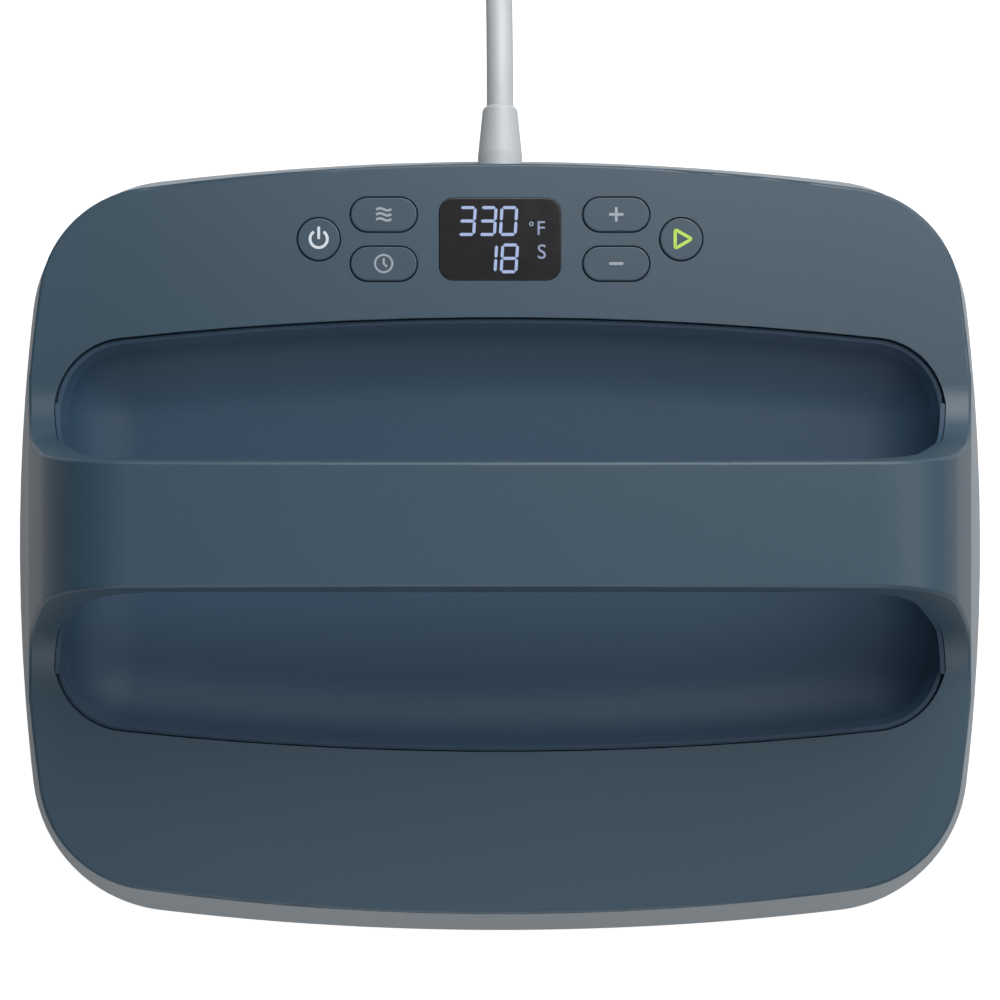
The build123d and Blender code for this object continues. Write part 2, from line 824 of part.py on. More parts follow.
# Sheathed element: two legs from the terminals, round three sides of the plate, half sunk in a groove
element_points = [
    (-terminal_x, terminal_y, element_height),
    (-terminal_x, -element_leg_y, element_height),
    (-element_leg_x, -element_leg_y, element_height),
    (-element_leg_x, element_leg_y, element_height),
    (element_leg_x, element_leg_y, element_height),
    (element_leg_x, -element_leg_y, element_height),
    (terminal_x, -element_leg_y, element_height),
    (terminal_x, terminal_y, element_height),
]
with BuildPart() as heating_element:
    with BuildLine() as element_path:
        FilletPolyline(*element_points, radius=element_bend_radius)
    with BuildSketch(Plane(element_path.line @ 0, z_dir=element_path.line % 0)):
        Circle(element_diameter / 2)
    sweep()
heating_element.part.label = "heating_element"
export_step(heating_element.part, "parts/heating_element.step")

with BuildPart() as heat_plate:
    extrude(plate_outline(0, 0), amount=plate_thickness)
    fillet(heat_plate.faces().sort_by(Axis.Z)[0].edges(), radius=plate_edge_radius)
    # Groove for the element: a round-bottomed channel open at the top
    with BuildLine() as groove_path:
        FilletPolyline(*element_points, radius=element_bend_radius)
    groove_half = element_diameter / 2 + element_gap
    with BuildSketch(Plane(groove_path.line @ 0, z_dir=groove_path.line % 0, x_dir=(1, 0, 0))):
        Circle(groove_half)
        with Locations((0, groove_half)):
            Rectangle(2 * groove_half, 2 * groove_half)
    sweep(mode=Mode.SUBTRACT)
    # The groove runs on under the two terminals
    for side in (-1, 1):
        with BuildSketch(Plane.XZ.offset(-terminal_y)):
            with Locations((side * terminal_x, element_height)):
                Circle(groove_half)
            with Locations((side * terminal_x, element_height + groove_half)):
                Rectangle(2 * groove_half, 2 * groove_half)
        extrude(amount=-(terminal_length + pin_length + lead_diameter * 2.5), mode=Mode.SUBTRACT)
    with Locations(*[(x, y, plate_thickness) for x, y in standoff_points]):
        Cylinder(
            screw_diameter / 2 + screw_hole_gap / 2,
            plate_thickness - screw_tip_height + 0.5,
            align=(Align.CENTER, Align.CENTER, Align.MAX),
            mode=Mode.SUBTRACT,
        )
    with Locations(*[(x, y, plate_thickness) for x, y in clip_screw_points]):
        Cylinder(
            small_screw_diameter / 2 + screw_hole_gap / 2,
            small_screw_depth + 0.5,
            align=(Align.CENTER, Align.CENTER, Align.MAX),
            mode=Mode.SUBTRACT,
        )
heat_plate.part.label = "heat_plate"
export_step(heat_plate.part, "parts/heat_plate.step")

# Ceramic terminals with their pins, on the two ends of the element
with BuildPart() as element_terminals:
    for side in (-1, 1):
        with BuildSketch(Plane.XZ.offset(-terminal_y)):
            with Locations((side * terminal_x, element_height)):
                Circle(element_diameter / 2)
        extrude(amount=-terminal_length)
        with BuildSketch(Plane.XZ.offset(-terminal_y - terminal_length)):
            with Locations((side * terminal_x, element_height)):
                Circle(pin_diameter / 2)
        extrude(amount=-pin_length)
element_terminals.part.label = "element_terminals"
export_step(element_terminals.part, "parts/element_terminals.step")

# Insulation blanket over the plate, with a pocket for terminals, fuse and sensor
with BuildPart() as insulation_blanket:
    extrude(plate_outline(blanket_bottom, blanket_margin), amount=blanket_thickness)
    with BuildSketch(Plane.XY.offset(blanket_bottom)):
        with Locations(*standoff_points):
            Circle(standoff_diameter / 2 + standoff_clearance)
        with Locations((0, pocket_y)):
            RectangleRounded(pocket_length, pocket_width, standoff_diameter / 2)
    extrude(amount=blanket_thickness, mode=Mode.SUBTRACT)
insulation_blanket.part.label = "insulation_blanket"
export_step(insulation_blanket.part, "parts/insulation_blanket.step")

# Heat shield: a shallow steel pan turned down over the blanket
with BuildPart() as heat_shield:
    extrude(plate_outline(shield_bottom - shield_rim, shield_margin), amount=shield_rim + shield_thickness)
    extrude(
        plate_outline(shield_bottom - shield_rim, shield_margin + shield_thickness),
        amount=shield_rim,
        mode=Mode.SUBTRACT,
    )
    with BuildSketch(Plane.XY.offset(shield_bottom)):
        with Locations(*standoff_points):
            Circle(screw_diameter / 2 + screw_hole_gap)
        with Locations((-terminal_x, lead_hole_y), (terminal_x, lead_hole_y), (sensor_x, sensor_hole_y)):
            Circle(lead_hole_diameter / 2)
    extrude(amount=shield_thickness, mode=Mode.SUBTRACT)
heat_shield.part.label = "heat_shield"
export_step(heat_shield.part, "parts/heat_shield.step")

# Standoffs: posts from the plate to the shield, and spacers from the shield to the partition
with BuildPart() as plate_standoffs:
    for low, high in ((plate_thickness, shield_bottom), (shield_top, partition_height)):
        with BuildSketch(Plane.XY.offset(low)):
            with Locations(*standoff_points):
                Circle(standoff_diameter / 2)
                Circle(screw_diameter / 2 + screw_hole_gap, mode=Mode.SUBTRACT)
        extrude(amount=high - low)
plate_standoffs.part.label = "plate_standoffs"
export_step(plate_standoffs.part, "parts/plate_standoffs.step")


def pan_screws(points, seat, tip, head_side, diameter, head_diameter, head_height):
    # Pan-head screws with their heads on the seat; head_side is 1 above it and -1 below it
    with BuildPart() as screws:
        for x, y in points:
            with BuildSketch(Plane.XY.offset(seat)):
                with Locations((x, y)):
                    Circle(head_diameter / 2)
            extrude(amount=head_side * head_height)
            with BuildSketch(Plane.XY.offset(seat)):
                with Locations((x, y)):
                    Circle(diameter / 2)
            extrude(amount=tip - seat)
            # Drive slot in the head
            with Locations((x, y, seat + head_side * head_height)):
                Box(head_diameter / 2, head_height / 3, head_height, mode=Mode.SUBTRACT)
    return screws.part


def write_piece(part, name):
    part.label = name
    export_step(part, f"parts/{name}.step")


write_piece(
    pan_screws(
        standoff_points,
        partition_top,
        screw_tip_height,
        1,
        screw_diameter,
        screw_head_diameter,
        screw_head_height,
    ),
    "standoff_screws",
)
write_piece(
    pan_screws(
        case_screw_points,
        partition_height,
        partition_top + case_screw_length,
        -1,
        case_screw_diameter,
        case_head_diameter,
        case_head_height,
    ),
    "case_screws",
)
write_piece(
    pan_screws(
        [(-grip_screw_x, 0), (grip_screw_x, 0)],
        bar_bottom + grip_bore_depth,
        arch_height - arch_crown - wall - 1,
        -1,
        case_screw_diameter,
        case_head_diameter,
        case_head_height,
    ),
    "grip_screws",
)
write_piece(
    pan_screws(
        power_screw_points,
        power_board_height + board_thickness,
        partition_top + 1,
        1,
        small_screw_diameter,
        small_head_diameter,
        small_head_height,
    ),
    "power_board_screws",
)
write_piece(
    pan_screws(
        display_screw_points,
        board_top - board_thickness,
        deck_underside - 2,
        -1,
        small_screw_diameter,
        small_head_diameter,
        small_head_height,
    ),
    "display_board_screws",
)

# Thermal fuse on the plate, held by a strap with two screws
with BuildPart() as thermal_fuse:
    with Locations(Location((fuse_x, fuse_y, plate_thickness + fuse_diameter / 2), (0, 90, 0))):
        Cylinder(fuse_diameter / 2, fuse_length)
        Cylinder(fuse_diameter / 10, fuse_length * 1.8)
thermal_fuse.part.label = "thermal_fuse"
export_step(thermal_fuse.part, "parts/thermal_fuse.step")

with BuildPart() as fuse_clip:
    fuse_height = plate_thickness + fuse_diameter / 2
    strap_inner = fuse_diameter / 2 + screw_hole_gap
    strap_outer = strap_inner + fuse_strap_thickness
    with BuildSketch(Plane.YZ.offset(fuse_x - fuse_strap_width / 2)):
        with Locations((fuse_y, fuse_height)):
            Circle(strap_outer)
        with Locations((fuse_y, fuse_height - fuse_diameter / 4)):
            Rectangle(2 * strap_outer, fuse_diameter / 2)
        with Locations((fuse_y, plate_thickness + fuse_strap_thickness / 2)):
            Rectangle(2 * fuse_screw_step + small_head_diameter, fuse_strap_thickness)
        with Locations((fuse_y, fuse_height)):
            Circle(strap_inner, mode=Mode.SUBTRACT)
        with Locations((fuse_y, plate_thickness)):
            Rectangle(2 * strap_inner, fuse_diameter, mode=Mode.SUBTRACT)
        with Locations((fuse_y, plate_thickness - strap_outer)):
            Rectangle(4 * strap_outer, 2 * strap_outer, mode=Mode.SUBTRACT)
    extrude(amount=fuse_strap_width)
    with Locations(*[(x, y, plate_thickness) for x, y in clip_screw_points[:2]]):
        Cylinder(small_screw_diameter / 2 + screw_hole_gap, 4 * fuse_strap_thickness, mode=Mode.SUBTRACT)
fuse_clip.part.label = "fuse_clip"
export_step(fuse_clip.part, "parts/fuse_clip.step")

# Temperature sensor: a bead on a flat lug
with BuildPart() as temperature_sensor:
    with BuildSketch(Plane.XY.offset(plate_thickness)):
        with Locations((sensor_x, sensor_y)):
            Circle(sensor_lug_radius)
            with Locations((0, sensor_lug_radius)):
                Rectangle(sensor_bead_diameter, 2 * sensor_lug_radius)
            Circle(small_screw_diameter / 2 + screw_hole_gap, mode=Mode.SUBTRACT)
    extrude(amount=fuse_strap_thickness)
    with BuildSketch(Plane.XZ.offset(-(sensor_y + sensor_lug_radius))):
        with Locations((sensor_x, plate_thickness + sensor_bead_diameter / 2)):
            Circle(sensor_bead_diameter / 2)
    extrude(amount=-sensor_bead_length)
temperature_sensor.part.label = "temperature_sensor"
export_step(temperature_sensor.part, "parts/temperature_sensor.step")

write_piece(
    pan_screws(
        clip_screw_points,
        plate_thickness + fuse_strap_thickness,
        plate_thickness - small_screw_depth,
        1,
        small_screw_diameter,
        small_head_diameter,
        small_head_height,
    ),
    "clip_screws",
)

# Power board on its four posts
with BuildPart() as power_board:
    with BuildSketch(Plane.XY.offset(power_board_height)):
        with Locations((power_board_x, power_board_y)):
            Rectangle(power_board_length, power_board_width)
        with Locations(*power_screw_points):
            Circle(small_screw_diameter / 2 + screw_hole_gap, mode=Mode.SUBTRACT)
    extrude(amount=board_thickness)
power_board.part.label = "power_board"
export_step(power_board.part, "parts/power_board.step")

with BuildPart() as triac_heatsink:
    with BuildSketch(Plane.XY.offset(power_board_top)):
        with Locations((heatsink_x, power_board_y)):
            Rectangle(heatsink_base, heatsink_length)
            with Locations((-(heatsink_base + heatsink_fin_reach) / 2 + 0.1, 0)):
                with GridLocations(0, heatsink_length / heatsink_fins, 1, heatsink_fins):
                    Rectangle(heatsink_fin_reach + 0.2, heatsink_fin_thickness)
    extrude(amount=heatsink_height)
triac_heatsink.part.label = "triac_heatsink"
export_step(triac_heatsink.part, "parts/triac_heatsink.step")

with BuildPart() as triac:
    triac_x = heatsink_x + heatsink_base / 2
    with BuildSketch(Plane.XY.offset(power_board_top + 2)):
        with Locations((triac_x + triac_thickness / 2, power_board_y)):
            Rectangle(triac_thickness, triac_width)
    extrude(amount=triac_height * 0.6)
    with BuildSketch(Plane.XY.offset(power_board_top + 2)):
        with Locations((triac_x + triac_thickness / 6, power_board_y)):
            Rectangle(triac_thickness / 3, triac_width)
    extrude(amount=triac_height)
    with BuildSketch(Plane.XY.offset(power_board_top)):
        with Locations((triac_x + triac_thickness / 2, power_board_y)):
            with GridLocations(0, triac_width / 4, 1, 3):
                Rectangle(0.8, 0.9)
    extrude(amount=2)
triac.part.label = "triac"
export_step(triac.part, "parts/triac.step")

# Transformer: laminated core with its bobbin standing proud at both sides
with BuildPart() as transformer:
    with BuildSketch(Plane.XY.offset(power_board_top)):
        with Locations((transformer_x, transformer_y)):
            Rectangle(transformer_length, transformer_width * 0.6)
            RectangleRounded(transformer_length * 0.66, transformer_width, transformer_width / 8)
    extrude(amount=transformer_height)
    fillet(transformer.faces().sort_by(Axis.Z)[-1].edges(), radius=transformer_width / 30)
transformer.part.label = "transformer"
export_step(transformer.part, "parts/transformer.step")


def board_block(x, y, length, width, height, edge):
    # A component's moulded case standing on the power board
    with BuildPart() as block:
        with Locations((x, y, power_board_top)):
            Box(length, width, height, align=(Align.CENTER, Align.CENTER, Align.MIN))
        upper_edges = block.edges().filter_by(lambda e: e.center().Z > power_board_top + height / 4)
        fillet(upper_edges, radius=edge)
    return block.part


write_piece(board_block(relay_x, relay_y, relay_length, relay_width, relay_height, 0.6), "relay")
write_piece(
    board_block(capacitor_x, capacitor_y, capacitor_length, capacitor_width, capacitor_height, 1.2),
    "filter_capacitor",
)

# Terminal block: three wire funnels on its side, screw wells above them
with BuildPart() as terminal_block:
    with Locations((block_x, block_y, power_board_top)):
        Box(block_length, block_width, block_height, align=(Align.CENTER, Align.CENTER, Align.MIN))
    with BuildSketch(Plane.XY.offset(power_board_top + block_height)):
        with Locations((block_x, block_y)):
            with GridLocations(block_length / 3, 0, 3, 1):
                Circle(block_length / 9)
    extrude(amount=-block_height / 3, mode=Mode.SUBTRACT)
terminal_block.part.label = "terminal_block"
export_step(terminal_block.part, "parts/terminal_block.step")

# Display board under the deck
with BuildPart() as display_board:
    with BuildSketch(Plane.XY.offset(board_bottom)):
        with Locations((0, control_line)):
            Rectangle(board_length, board_width)
        with Locations(*display_screw_points):
            Circle(small_screw_diameter / 2 + screw_hole_gap, mode=Mode.SUBTRACT)
    extrude(amount=board_thickness)
display_board.part.label = "display_board"
export_step(display_board.part, "parts/display_board.step")

gasket_bottom = deck_underside - gasket_thickness
window_seat = gasket_bottom - window_flange_thickness
with BuildPart() as display_window:
    with BuildSketch(Plane.XY.offset(window_seat)):
        with Locations((0, control_line)):
            RectangleRounded(
                display_length + 2 * window_flange,
                display_width + 2 * window_flange,
                display_corner + window_flange,
            )
    extrude(amount=window_flange_thickness)
    with BuildSketch(Plane.XY.offset(gasket_bottom)):
        with Locations((0, control_line)):
            RectangleRounded(display_length, display_width, display_corner)
    extrude(amount=deck_height - gasket_bottom)
display_window.part.label = "display_window"
export_step(display_window.part, "parts/display_window.step")

with BuildPart() as window_gasket:
    with BuildSketch(Plane.XY.offset(gasket_bottom)):
        with Locations((0, control_line)):
            RectangleRounded(
                display_length + 2 * window_flange,
                display_width + 2 * window_flange,
                display_corner + window_flange,
            )
            RectangleRounded(
                display_length + 2 * window_gap,
                display_width + 2 * window_gap,
                display_corner + window_gap,
                mode=Mode.SUBTRACT,
            )
    extrude(amount=gasket_thickness)
window_gasket.part.label = "window_gasket"
export_step(window_gasket.part, "parts/window_gasket.step")

with BuildPart() as display_module:
    with BuildSketch(Plane.XY.offset(board_top)):
        with Locations((0, control_line)):
            Rectangle(module_length, module_width)
    extrude(amount=window_seat - module_gap - board_top)
    fillet(display_module.faces().sort_by(Axis.Z)[-1].edges(), radius=module_gap)
display_module.part.label = "display_module"
export_step(display_module.part, "parts/display_module.step")

with BuildPart() as buzzer:
    with BuildSketch(Plane.XY.offset(board_bottom)):
        with Locations((buzzer_x, control_line)):
            Circle(buzzer_diameter / 2)
    extrude(amount=-buzzer_height)
    with BuildSketch(Plane.XY.offset(board_bottom - buzzer_height)):
        with Locations((buzzer_x, control_line)):
            Circle(buzzer_diameter / 8)
    extrude(amount=buzzer_height / 2, mode=Mode.SUBTRACT)
buzzer.part.label = "buzzer"
export_step(buzzer.part, "parts/buzzer.step")

# Switches stand on the display board; each has a bore for its plunger
switch_top = board_top + switch_height
with BuildPart() as switch_bodies:
    with BuildSketch(Plane.XY.offset(board_top)):
        with Locations(*button_points):
            Rectangle(switch_side, switch_side)
    extrude(amount=switch_height)
    with BuildSketch(Plane.XY.offset(switch_top)):
        with Locations(*button_points):
            Circle(plunger_diameter / 2 + plunger_gap)
    extrude(amount=-(plunger_reach + button_travel + button_rest_gap), mode=Mode.SUBTRACT)
switch_bodies.part.label = "switch_bodies"
export_step(switch_bodies.part, "parts/switch_bodies.step")

# Buttons: a cap in the deck, a flange under it and a stem down to the plunger
cap_top = deck_height + button_rise
flange_top = deck_underside - button_rest_gap
plunger_top = switch_top + 2 * button_travel


def button(outline_points, sketch_shape, name):
    # The cap's outline is given by a function that draws it with a margin
    with BuildPart() as cap:
        with BuildSketch(Plane.XY.offset(flange_top - button_flange_thickness)):
            with Locations(outline_points):
                sketch_shape(button_flange)
        extrude(amount=button_flange_thickness)
        with BuildSketch(Plane.XY.offset(flange_top)):
            with Locations(outline_points):
                sketch_shape(0)
        extrude(amount=cap_top - flange_top)
        fillet(cap.faces().sort_by(Axis.Z)[-1].edges(), radius=button_edge_radius)
        with BuildSketch(Plane.XY.offset(plunger_top)):
            with Locations(outline_points):
                Circle(stem_diameter / 2)
        extrude(amount=flange_top - button_flange_thickness - plunger_top)
    write_piece(cap.part, name)
    with BuildPart() as plunger:
        with BuildSketch(Plane.XY.offset(switch_top - plunger_reach)):
            with Locations(outline_points):
                Circle(plunger_diameter / 2)
        extrude(amount=plunger_top - switch_top + plunger_reach)
    write_piece(plunger.part, name.replace("button", "plunger"))


def round_shape(margin):
    return Circle(round_button_diameter / 2 + margin)


def pill_shape(margin):
    return SlotOverall(pill_length + 2 * margin, pill_width + 2 * margin)


for name, place in rounds.items():
    button(place, round_shape, name)
for name, place in pills.items():
    button(place, pill_shape, name)

# Ribbon from the display board down to the power board, with a slack fold
with BuildPart() as ribbon_cable:
    ribbon_drop = board_bottom - power_board_top
    with BuildLine(Plane.YZ.offset(ribbon_x - ribbon_width / 2)) as ribbon_path:
        FilletPolyline(
            (ribbon_y, power_board_top),
            (ribbon_y, power_board_top + ribbon_drop * 0.3),
            (ribbon_y + ribbon_drop * 0.3, power_board_top + ribbon_drop * 0.5),
            (ribbon_y, power_board_top + ribbon_drop * 0.7),
            (ribbon_y, board_bottom),
            radius=ribbon_thickness,
        )
    with BuildSketch(Plane(ribbon_path.line @ 0, z_dir=(0, 0, 1), x_dir=(1, 0, 0))):
        with Locations((ribbon_width / 2, 0)):
            Rectangle(ribbon_width, ribbon_thickness)
    sweep(path=ribbon_path.line)
ribbon_cable.part.label = "ribbon_cable"
export_step(ribbon_cable.part, "parts/ribbon_cable.step")


def lead(points, radii, diameter):
    # One insulated wire along straight runs joined by arcs
    with BuildPart() as wire:
        with BuildLine() as route:
            FilletPolyline(*points, radius=radii)
        with BuildSketch(Plane(route.line @ 0, z_dir=route.line % 0)):
            Circle(diameter / 2)
        sweep()
    return wire.part


# Element leads: out of the terminals, up through the grommets and over to the power board's edge
lead_height = power_board_height + board_thickness / 2
lead_start = terminal_y + terminal_length + pin_length
board_front = power_board_y - power_board_width / 2
left_lead_x = block_x
right_lead_x = block_x + lead_pitch
left_lead = lead(
    [
        (-terminal_x, lead_start, element_height),
        (-terminal_x, lead_hole_y, element_height),
        (-terminal_x, lead_hole_y, lead_height),
        (left_lead_x, lead_hole_y + lead_slant, lead_height),
        (left_lead_x, board_front, lead_height),
    ],
    [lead_radius, lead_radius, 2 * lead_radius],
    lead_diameter,
)
right_lead = lead(
    [
        (terminal_x, lead_start, element_height),
        (terminal_x, lead_hole_y, element_height),
        (terminal_x, lead_hole_y, lead_height),
        (terminal_x, lead_hole_y + lead_round_trip, lead_height),
        (right_lead_x, lead_hole_y + lead_round_trip + lead_diameter, lead_height),
        (right_lead_x, board_front, lead_height),
    ],
    [lead_radius, lead_radius, 2 * lead_radius, 2 * lead_radius],
    lead_diameter,
)
with BuildPart() as element_leads:
    add(left_lead)
    add(right_lead)
element_leads.part.label = "element_leads"
export_step(element_leads.part, "parts/element_leads.step")

# Rubber grommets where the leads pass the partition
with BuildPart() as lead_grommets:
    for side in (-1, 1):
        with BuildSketch(Plane.XY.offset(partition_height - grommet_collar_thickness)):
            with Locations((side * terminal_x, lead_hole_y)):
                Circle(grommet_collar_diameter / 2)
        extrude(amount=grommet_collar_thickness)
        with BuildSketch(Plane.XY.offset(partition_height)):
            with Locations((side * terminal_x, lead_hole_y)):
                Circle(grommet_neck_diameter / 2)
        extrude(amount=partition_thickness)
        with BuildSketch(Plane.XY.offset(partition_top)):
            with Locations((side * terminal_x, lead_hole_y)):
                Circle(grommet_collar_diameter / 2)
        extrude(amount=grommet_collar_thickness)
        with BuildSketch(Plane.XY.offset(partition_height - 2 * grommet_collar_thickness)):
            with Locations((side * terminal_x, lead_hole_y)):
                Circle(lead_diameter / 2 + screw_hole_gap)
        extrude(amount=partition_thickness + 4 * grommet_collar_thickness, mode=Mode.SUBTRACT)
lead_grommets.part.label = "lead_grommets"
export_step(lead_grommets.part, "parts/lead_grommets.step")

# Sensor lead: up through the partition, over the element leads and up to the display board's edge
sensor_run_height = lead_height + 3.4
sensor_start = sensor_y + sensor_lug_radius + sensor_bead_length
sensor_rise_y = board_front - 1
sensor_height = plate_thickness + sensor_bead_diameter / 2
sensor_lead = lead(
    [
        (sensor_x, sensor_start, sensor_height),
        (sensor_x, sensor_hole_y, sensor_height),
        (sensor_x, sensor_hole_y, sensor_run_height),
        (sensor_x, sensor_rise_y, sensor_run_height),
        (sensor_x, sensor_rise_y, board_bottom + board_thickness / 2),
        (sensor_x, control_line - board_width / 2, board_bottom + board_thickness / 2),
    ],
    lead_radius * 0.8,
    sensor_lead_diameter,
)
write_piece(sensor_lead, "sensor_lead")

# Cord inside the base, its clamp, and the three mains leads to the terminal block
with BuildPart() as inner_cord:
    with BuildSketch(Plane.XZ.offset(-tail_end)):
        with Locations((0, cord_height)):
            Circle(cord_diameter / 2)
    extrude(amount=-(relief_flange_y - tail_end))
inner_cord.part.label = "inner_cord"
export_step(inner_cord.part, "parts/inner_cord.step")

with BuildPart() as mains_leads:
    for step in (-1, 0, 1):
        mains_height = cord_height + mains_lead_lift + step * mains_lead_step
        add(
            lead(
                [
                    (0, tail_end, mains_height),
                    (0, mains_turn_y, mains_height),
                    (mains_turn_x, mains_turn_y, mains_height),
                    (mains_turn_x, block_y, mains_height),
                    (block_x + block_length / 2, block_y, mains_height),
                ],
                4,
                mains_lead_diameter,
            )
        )
mains_leads.part.label = "mains_leads"
export_step(mains_leads.part, "parts/mains_leads.step")

with BuildPart() as cord_clamp:
    with Locations((0, clamp_y, cord_height)):
        Box(
            clamp_length,
            clamp_width,
            cord_diameter / 2 + clamp_cap,
            align=(Align.CENTER, Align.CENTER, Align.MIN),
        )
    fillet(cord_clamp.edges().filter_by(Axis.Z), radius=clamp_width / 3)
    with Locations(Location((0, clamp_y, cord_height), (90, 0, 0))):
        Cylinder(cord_diameter / 2 + clamp_squeeze, 2 * clamp_width, mode=Mode.SUBTRACT)
    # The ears beside the cord are lower than the arch over it
    with Locations(*[(x, clamp_y, cord_height + wall) for x, y in clamp_screw_points]):
        Box(
            2 * (clamp_screw_x - cord_diameter / 2 - clamp_cap),
            2 * clamp_width,
            cord_diameter,
            align=(Align.CENTER, Align.CENTER, Align.MIN),
            mode=Mode.SUBTRACT,
        )
    with Locations(*[(x, y, cord_height) for x, y in clamp_screw_points]):
        Cylinder(small_screw_diameter / 2 + screw_hole_gap, 4 * wall, mode=Mode.SUBTRACT)
cord_clamp.part.label = "cord_clamp"
export_step(cord_clamp.part, "parts/cord_clamp.step")

write_piece(
    pan_screws(
        clamp_screw_points,
        cord_height + wall,
        partition_top + 1.5,
        1,
        small_screw_diameter,
        small_head_diameter,
        small_head_height,
    ),
    "clamp_screws",
)

# Strain relief: flange inside the wall, smooth taper outside, rounded end
with BuildPart() as strain_relief:
    with BuildSketch(Plane.YZ) as relief_half:
        with BuildLine():
            Polyline(
                (relief_flange_y, cord_height),
                (relief_flange_y, cord_height + relief_flange_diameter / 2),
                (relief_flange_y + relief_flange_thickness, cord_height + relief_flange_diameter / 2),
                (relief_flange_y + relief_flange_thickness, cord_height + relief_base_diameter / 2),
                (relief_shoulder_y, cord_height + relief_base_diameter / 2),
                (relief_end, cord_height + relief_end_diameter / 2),
                (relief_end, cord_height),
                close=True,
            )
        make_face()
        end_corner = relief_half.vertices().group_by(Axis.X)[-1].sort_by(Axis.Y)[-1]
        fillet(end_corner, radius=relief_end_radius)
    revolve(axis=Axis((0, 0, cord_height), (0, 1, 0)))
strain_relief.part.label = "strain_relief"
export_step(strain_relief.part, "parts/strain_relief.step")

# Coil of the put-away cord: in on the floor, up a layer in the half turn where it reverses, and out on top
coil_outer_radius = coil_mean_radius + coil_pitch * coil_turns / 4
coil_centre_x = coil_outer_radius
floor_height = cord_diameter / 2


def coil_point(turn):
    # Place of the cord's centre line after a number of turns, clockwise from the cord's own line
    half = coil_turns / 2
    blend = 0.25
    away = turn - half
    swing = abs(away) if abs(away) > blend else (away * away + blend * blend) / (2 * blend)
    radius = coil_mean_radius + coil_pitch * (swing - coil_turns / 4)
    climb = min(max((away + blend) / (2 * blend), 0), 1)
    height = floor_height + coil_layer_step * climb * climb * (3 - 2 * climb)
    angle = pi - 2 * pi * turn
    return Vector(coil_centre_x + radius * cos(angle), coil_centre_y + radius * sin(angle), height)


def coil_tangent(turn):
    small = 0.0005
    return (coil_point(turn + small) - coil_point(turn - small)).normalized()


def biarc_middle(start, start_way, end, end_way):
    # Where the first of two equal-reach tangent arcs hands over to the second
    chord = end - start
    ways = start_way + end_way
    square = 2 * (1 - start_way.dot(end_way))
    along = 2 * chord.dot(ways)
    size = chord.dot(chord)
    if square < 1e-9:
        distance = size / along
    else:
        distance = (-along + sqrt(along * along + 4 * square * size)) / (2 * square)
    return (start + start_way * distance + end - end_way * distance) * 0.5


coil_steps = [step / 4 for step in range(4 * coil_turns + 1)]
coil_start = coil_point(0) - coil_tangent(0) * cord_diameter
coil_end = coil_point(coil_turns) + coil_tangent(coil_turns) * cord_diameter
with BuildPart() as cord_coil:
    with BuildLine() as coil_path:
        Line(coil_start, coil_point(0))
        for first, last in zip(coil_steps, coil_steps[1:]):
            middle = biarc_middle(
                coil_point(first), coil_tangent(first), coil_point(last), coil_tangent(last)
            )
            arc = TangentArc(coil_point(first), middle, tangent=coil_tangent(first))
            TangentArc(middle, coil_point(last), tangent=arc % 1)
        Line(coil_point(coil_turns), coil_end)
    with BuildSketch(Plane(coil_start, z_dir=coil_tangent(0))):
        Circle(cord_diameter / 2)
    sweep()
cord_coil.part.label = "cord_coil"
export_step(cord_coil.part, "parts/cord_coil.step")

coil_samples = [coil_point(step / 48) for step in range(48 * coil_turns + 1)]
least_gap = min(
    (coil_samples[i] - coil_samples[j]).length - cord_diameter
    for i in range(len(coil_samples))
    for j in range(i + 24, len(coil_samples))
)
coil_length = coil_path.wires()[0].length
print("least gap between the coil's turns", round(least_gap, 3))
print("length of the coil", round(coil_length, 1))


# Free stretch: straight out of the relief, down to the floor and on to the coil
cord_points = [
    Vector(0, relief_end, cord_height),
    Vector(0, relief_end + cord_straight, cord_height),
    coil_start - coil_tangent(0) * cord_last_run,
    coil_start,
]


def route_radii(points):
    # Each corner's arc is as large as its two runs allow
    radii = []
    for before, corner, after in zip(points, points[1:], points[2:]):
        turn = radians((corner - before).get_angle(after - corner))
        shorter = min((corner - before).length, (after - corner).length)
        radii.append(0.45 * shorter / tan(turn / 2))
    return radii


cord_radii = route_radii(cord_points)
print("radii of the cord's corners", [round(radius, 1) for radius in cord_radii])
mains_cord = lead(cord_points, cord_radii, cord_diameter)
write_piece(mains_cord, "mains_cord")
cord_path_length = mains_cord.volume / (pi * (cord_diameter / 2) ** 2)

# Lead from the coil to the plug, and the plug lying on the floor beside the coil
coil_way = coil_tangent(coil_turns)
plug_entry = coil_end + coil_way * plug_lead_length
with BuildPart() as plug_lead:
    with BuildSketch(Plane(coil_end, z_dir=coil_way)):
        Circle(cord_diameter / 2)
    extrude(amount=plug_lead_length)
plug_lead.part.label = "plug_lead"
export_step(plug_lead.part, "parts/plug_lead.step")
print("length of the whole cord", round(cord_path_length + coil_length + plug_lead_length, 1))

plug_height = 2 * (coil_end.Z - plug_lift)
plug_plane = Plane(plug_entry, x_dir=coil_way.cross(Vector(0, 0, 1)).normalized(), z_dir=coil_way)
with BuildPart() as plug_body:
    # Neck where the cord enters, widening to the grip and the face that carries the pins
    with BuildSketch(plug_plane):
        RectangleRounded(plug_waist, plug_waist, plug_corner)
    with BuildSketch(plug_plane.offset(plug_length * 0.45)):
        RectangleRounded(plug_width - 2, plug_height - 2, plug_corner)
    with BuildSketch(plug_plane.offset(plug_length)):
        RectangleRounded(plug_width, plug_height, plug_corner)
    loft()
plug_body.part.label = "plug_body"
export_step(plug_body.part, "parts/plug_body.step")

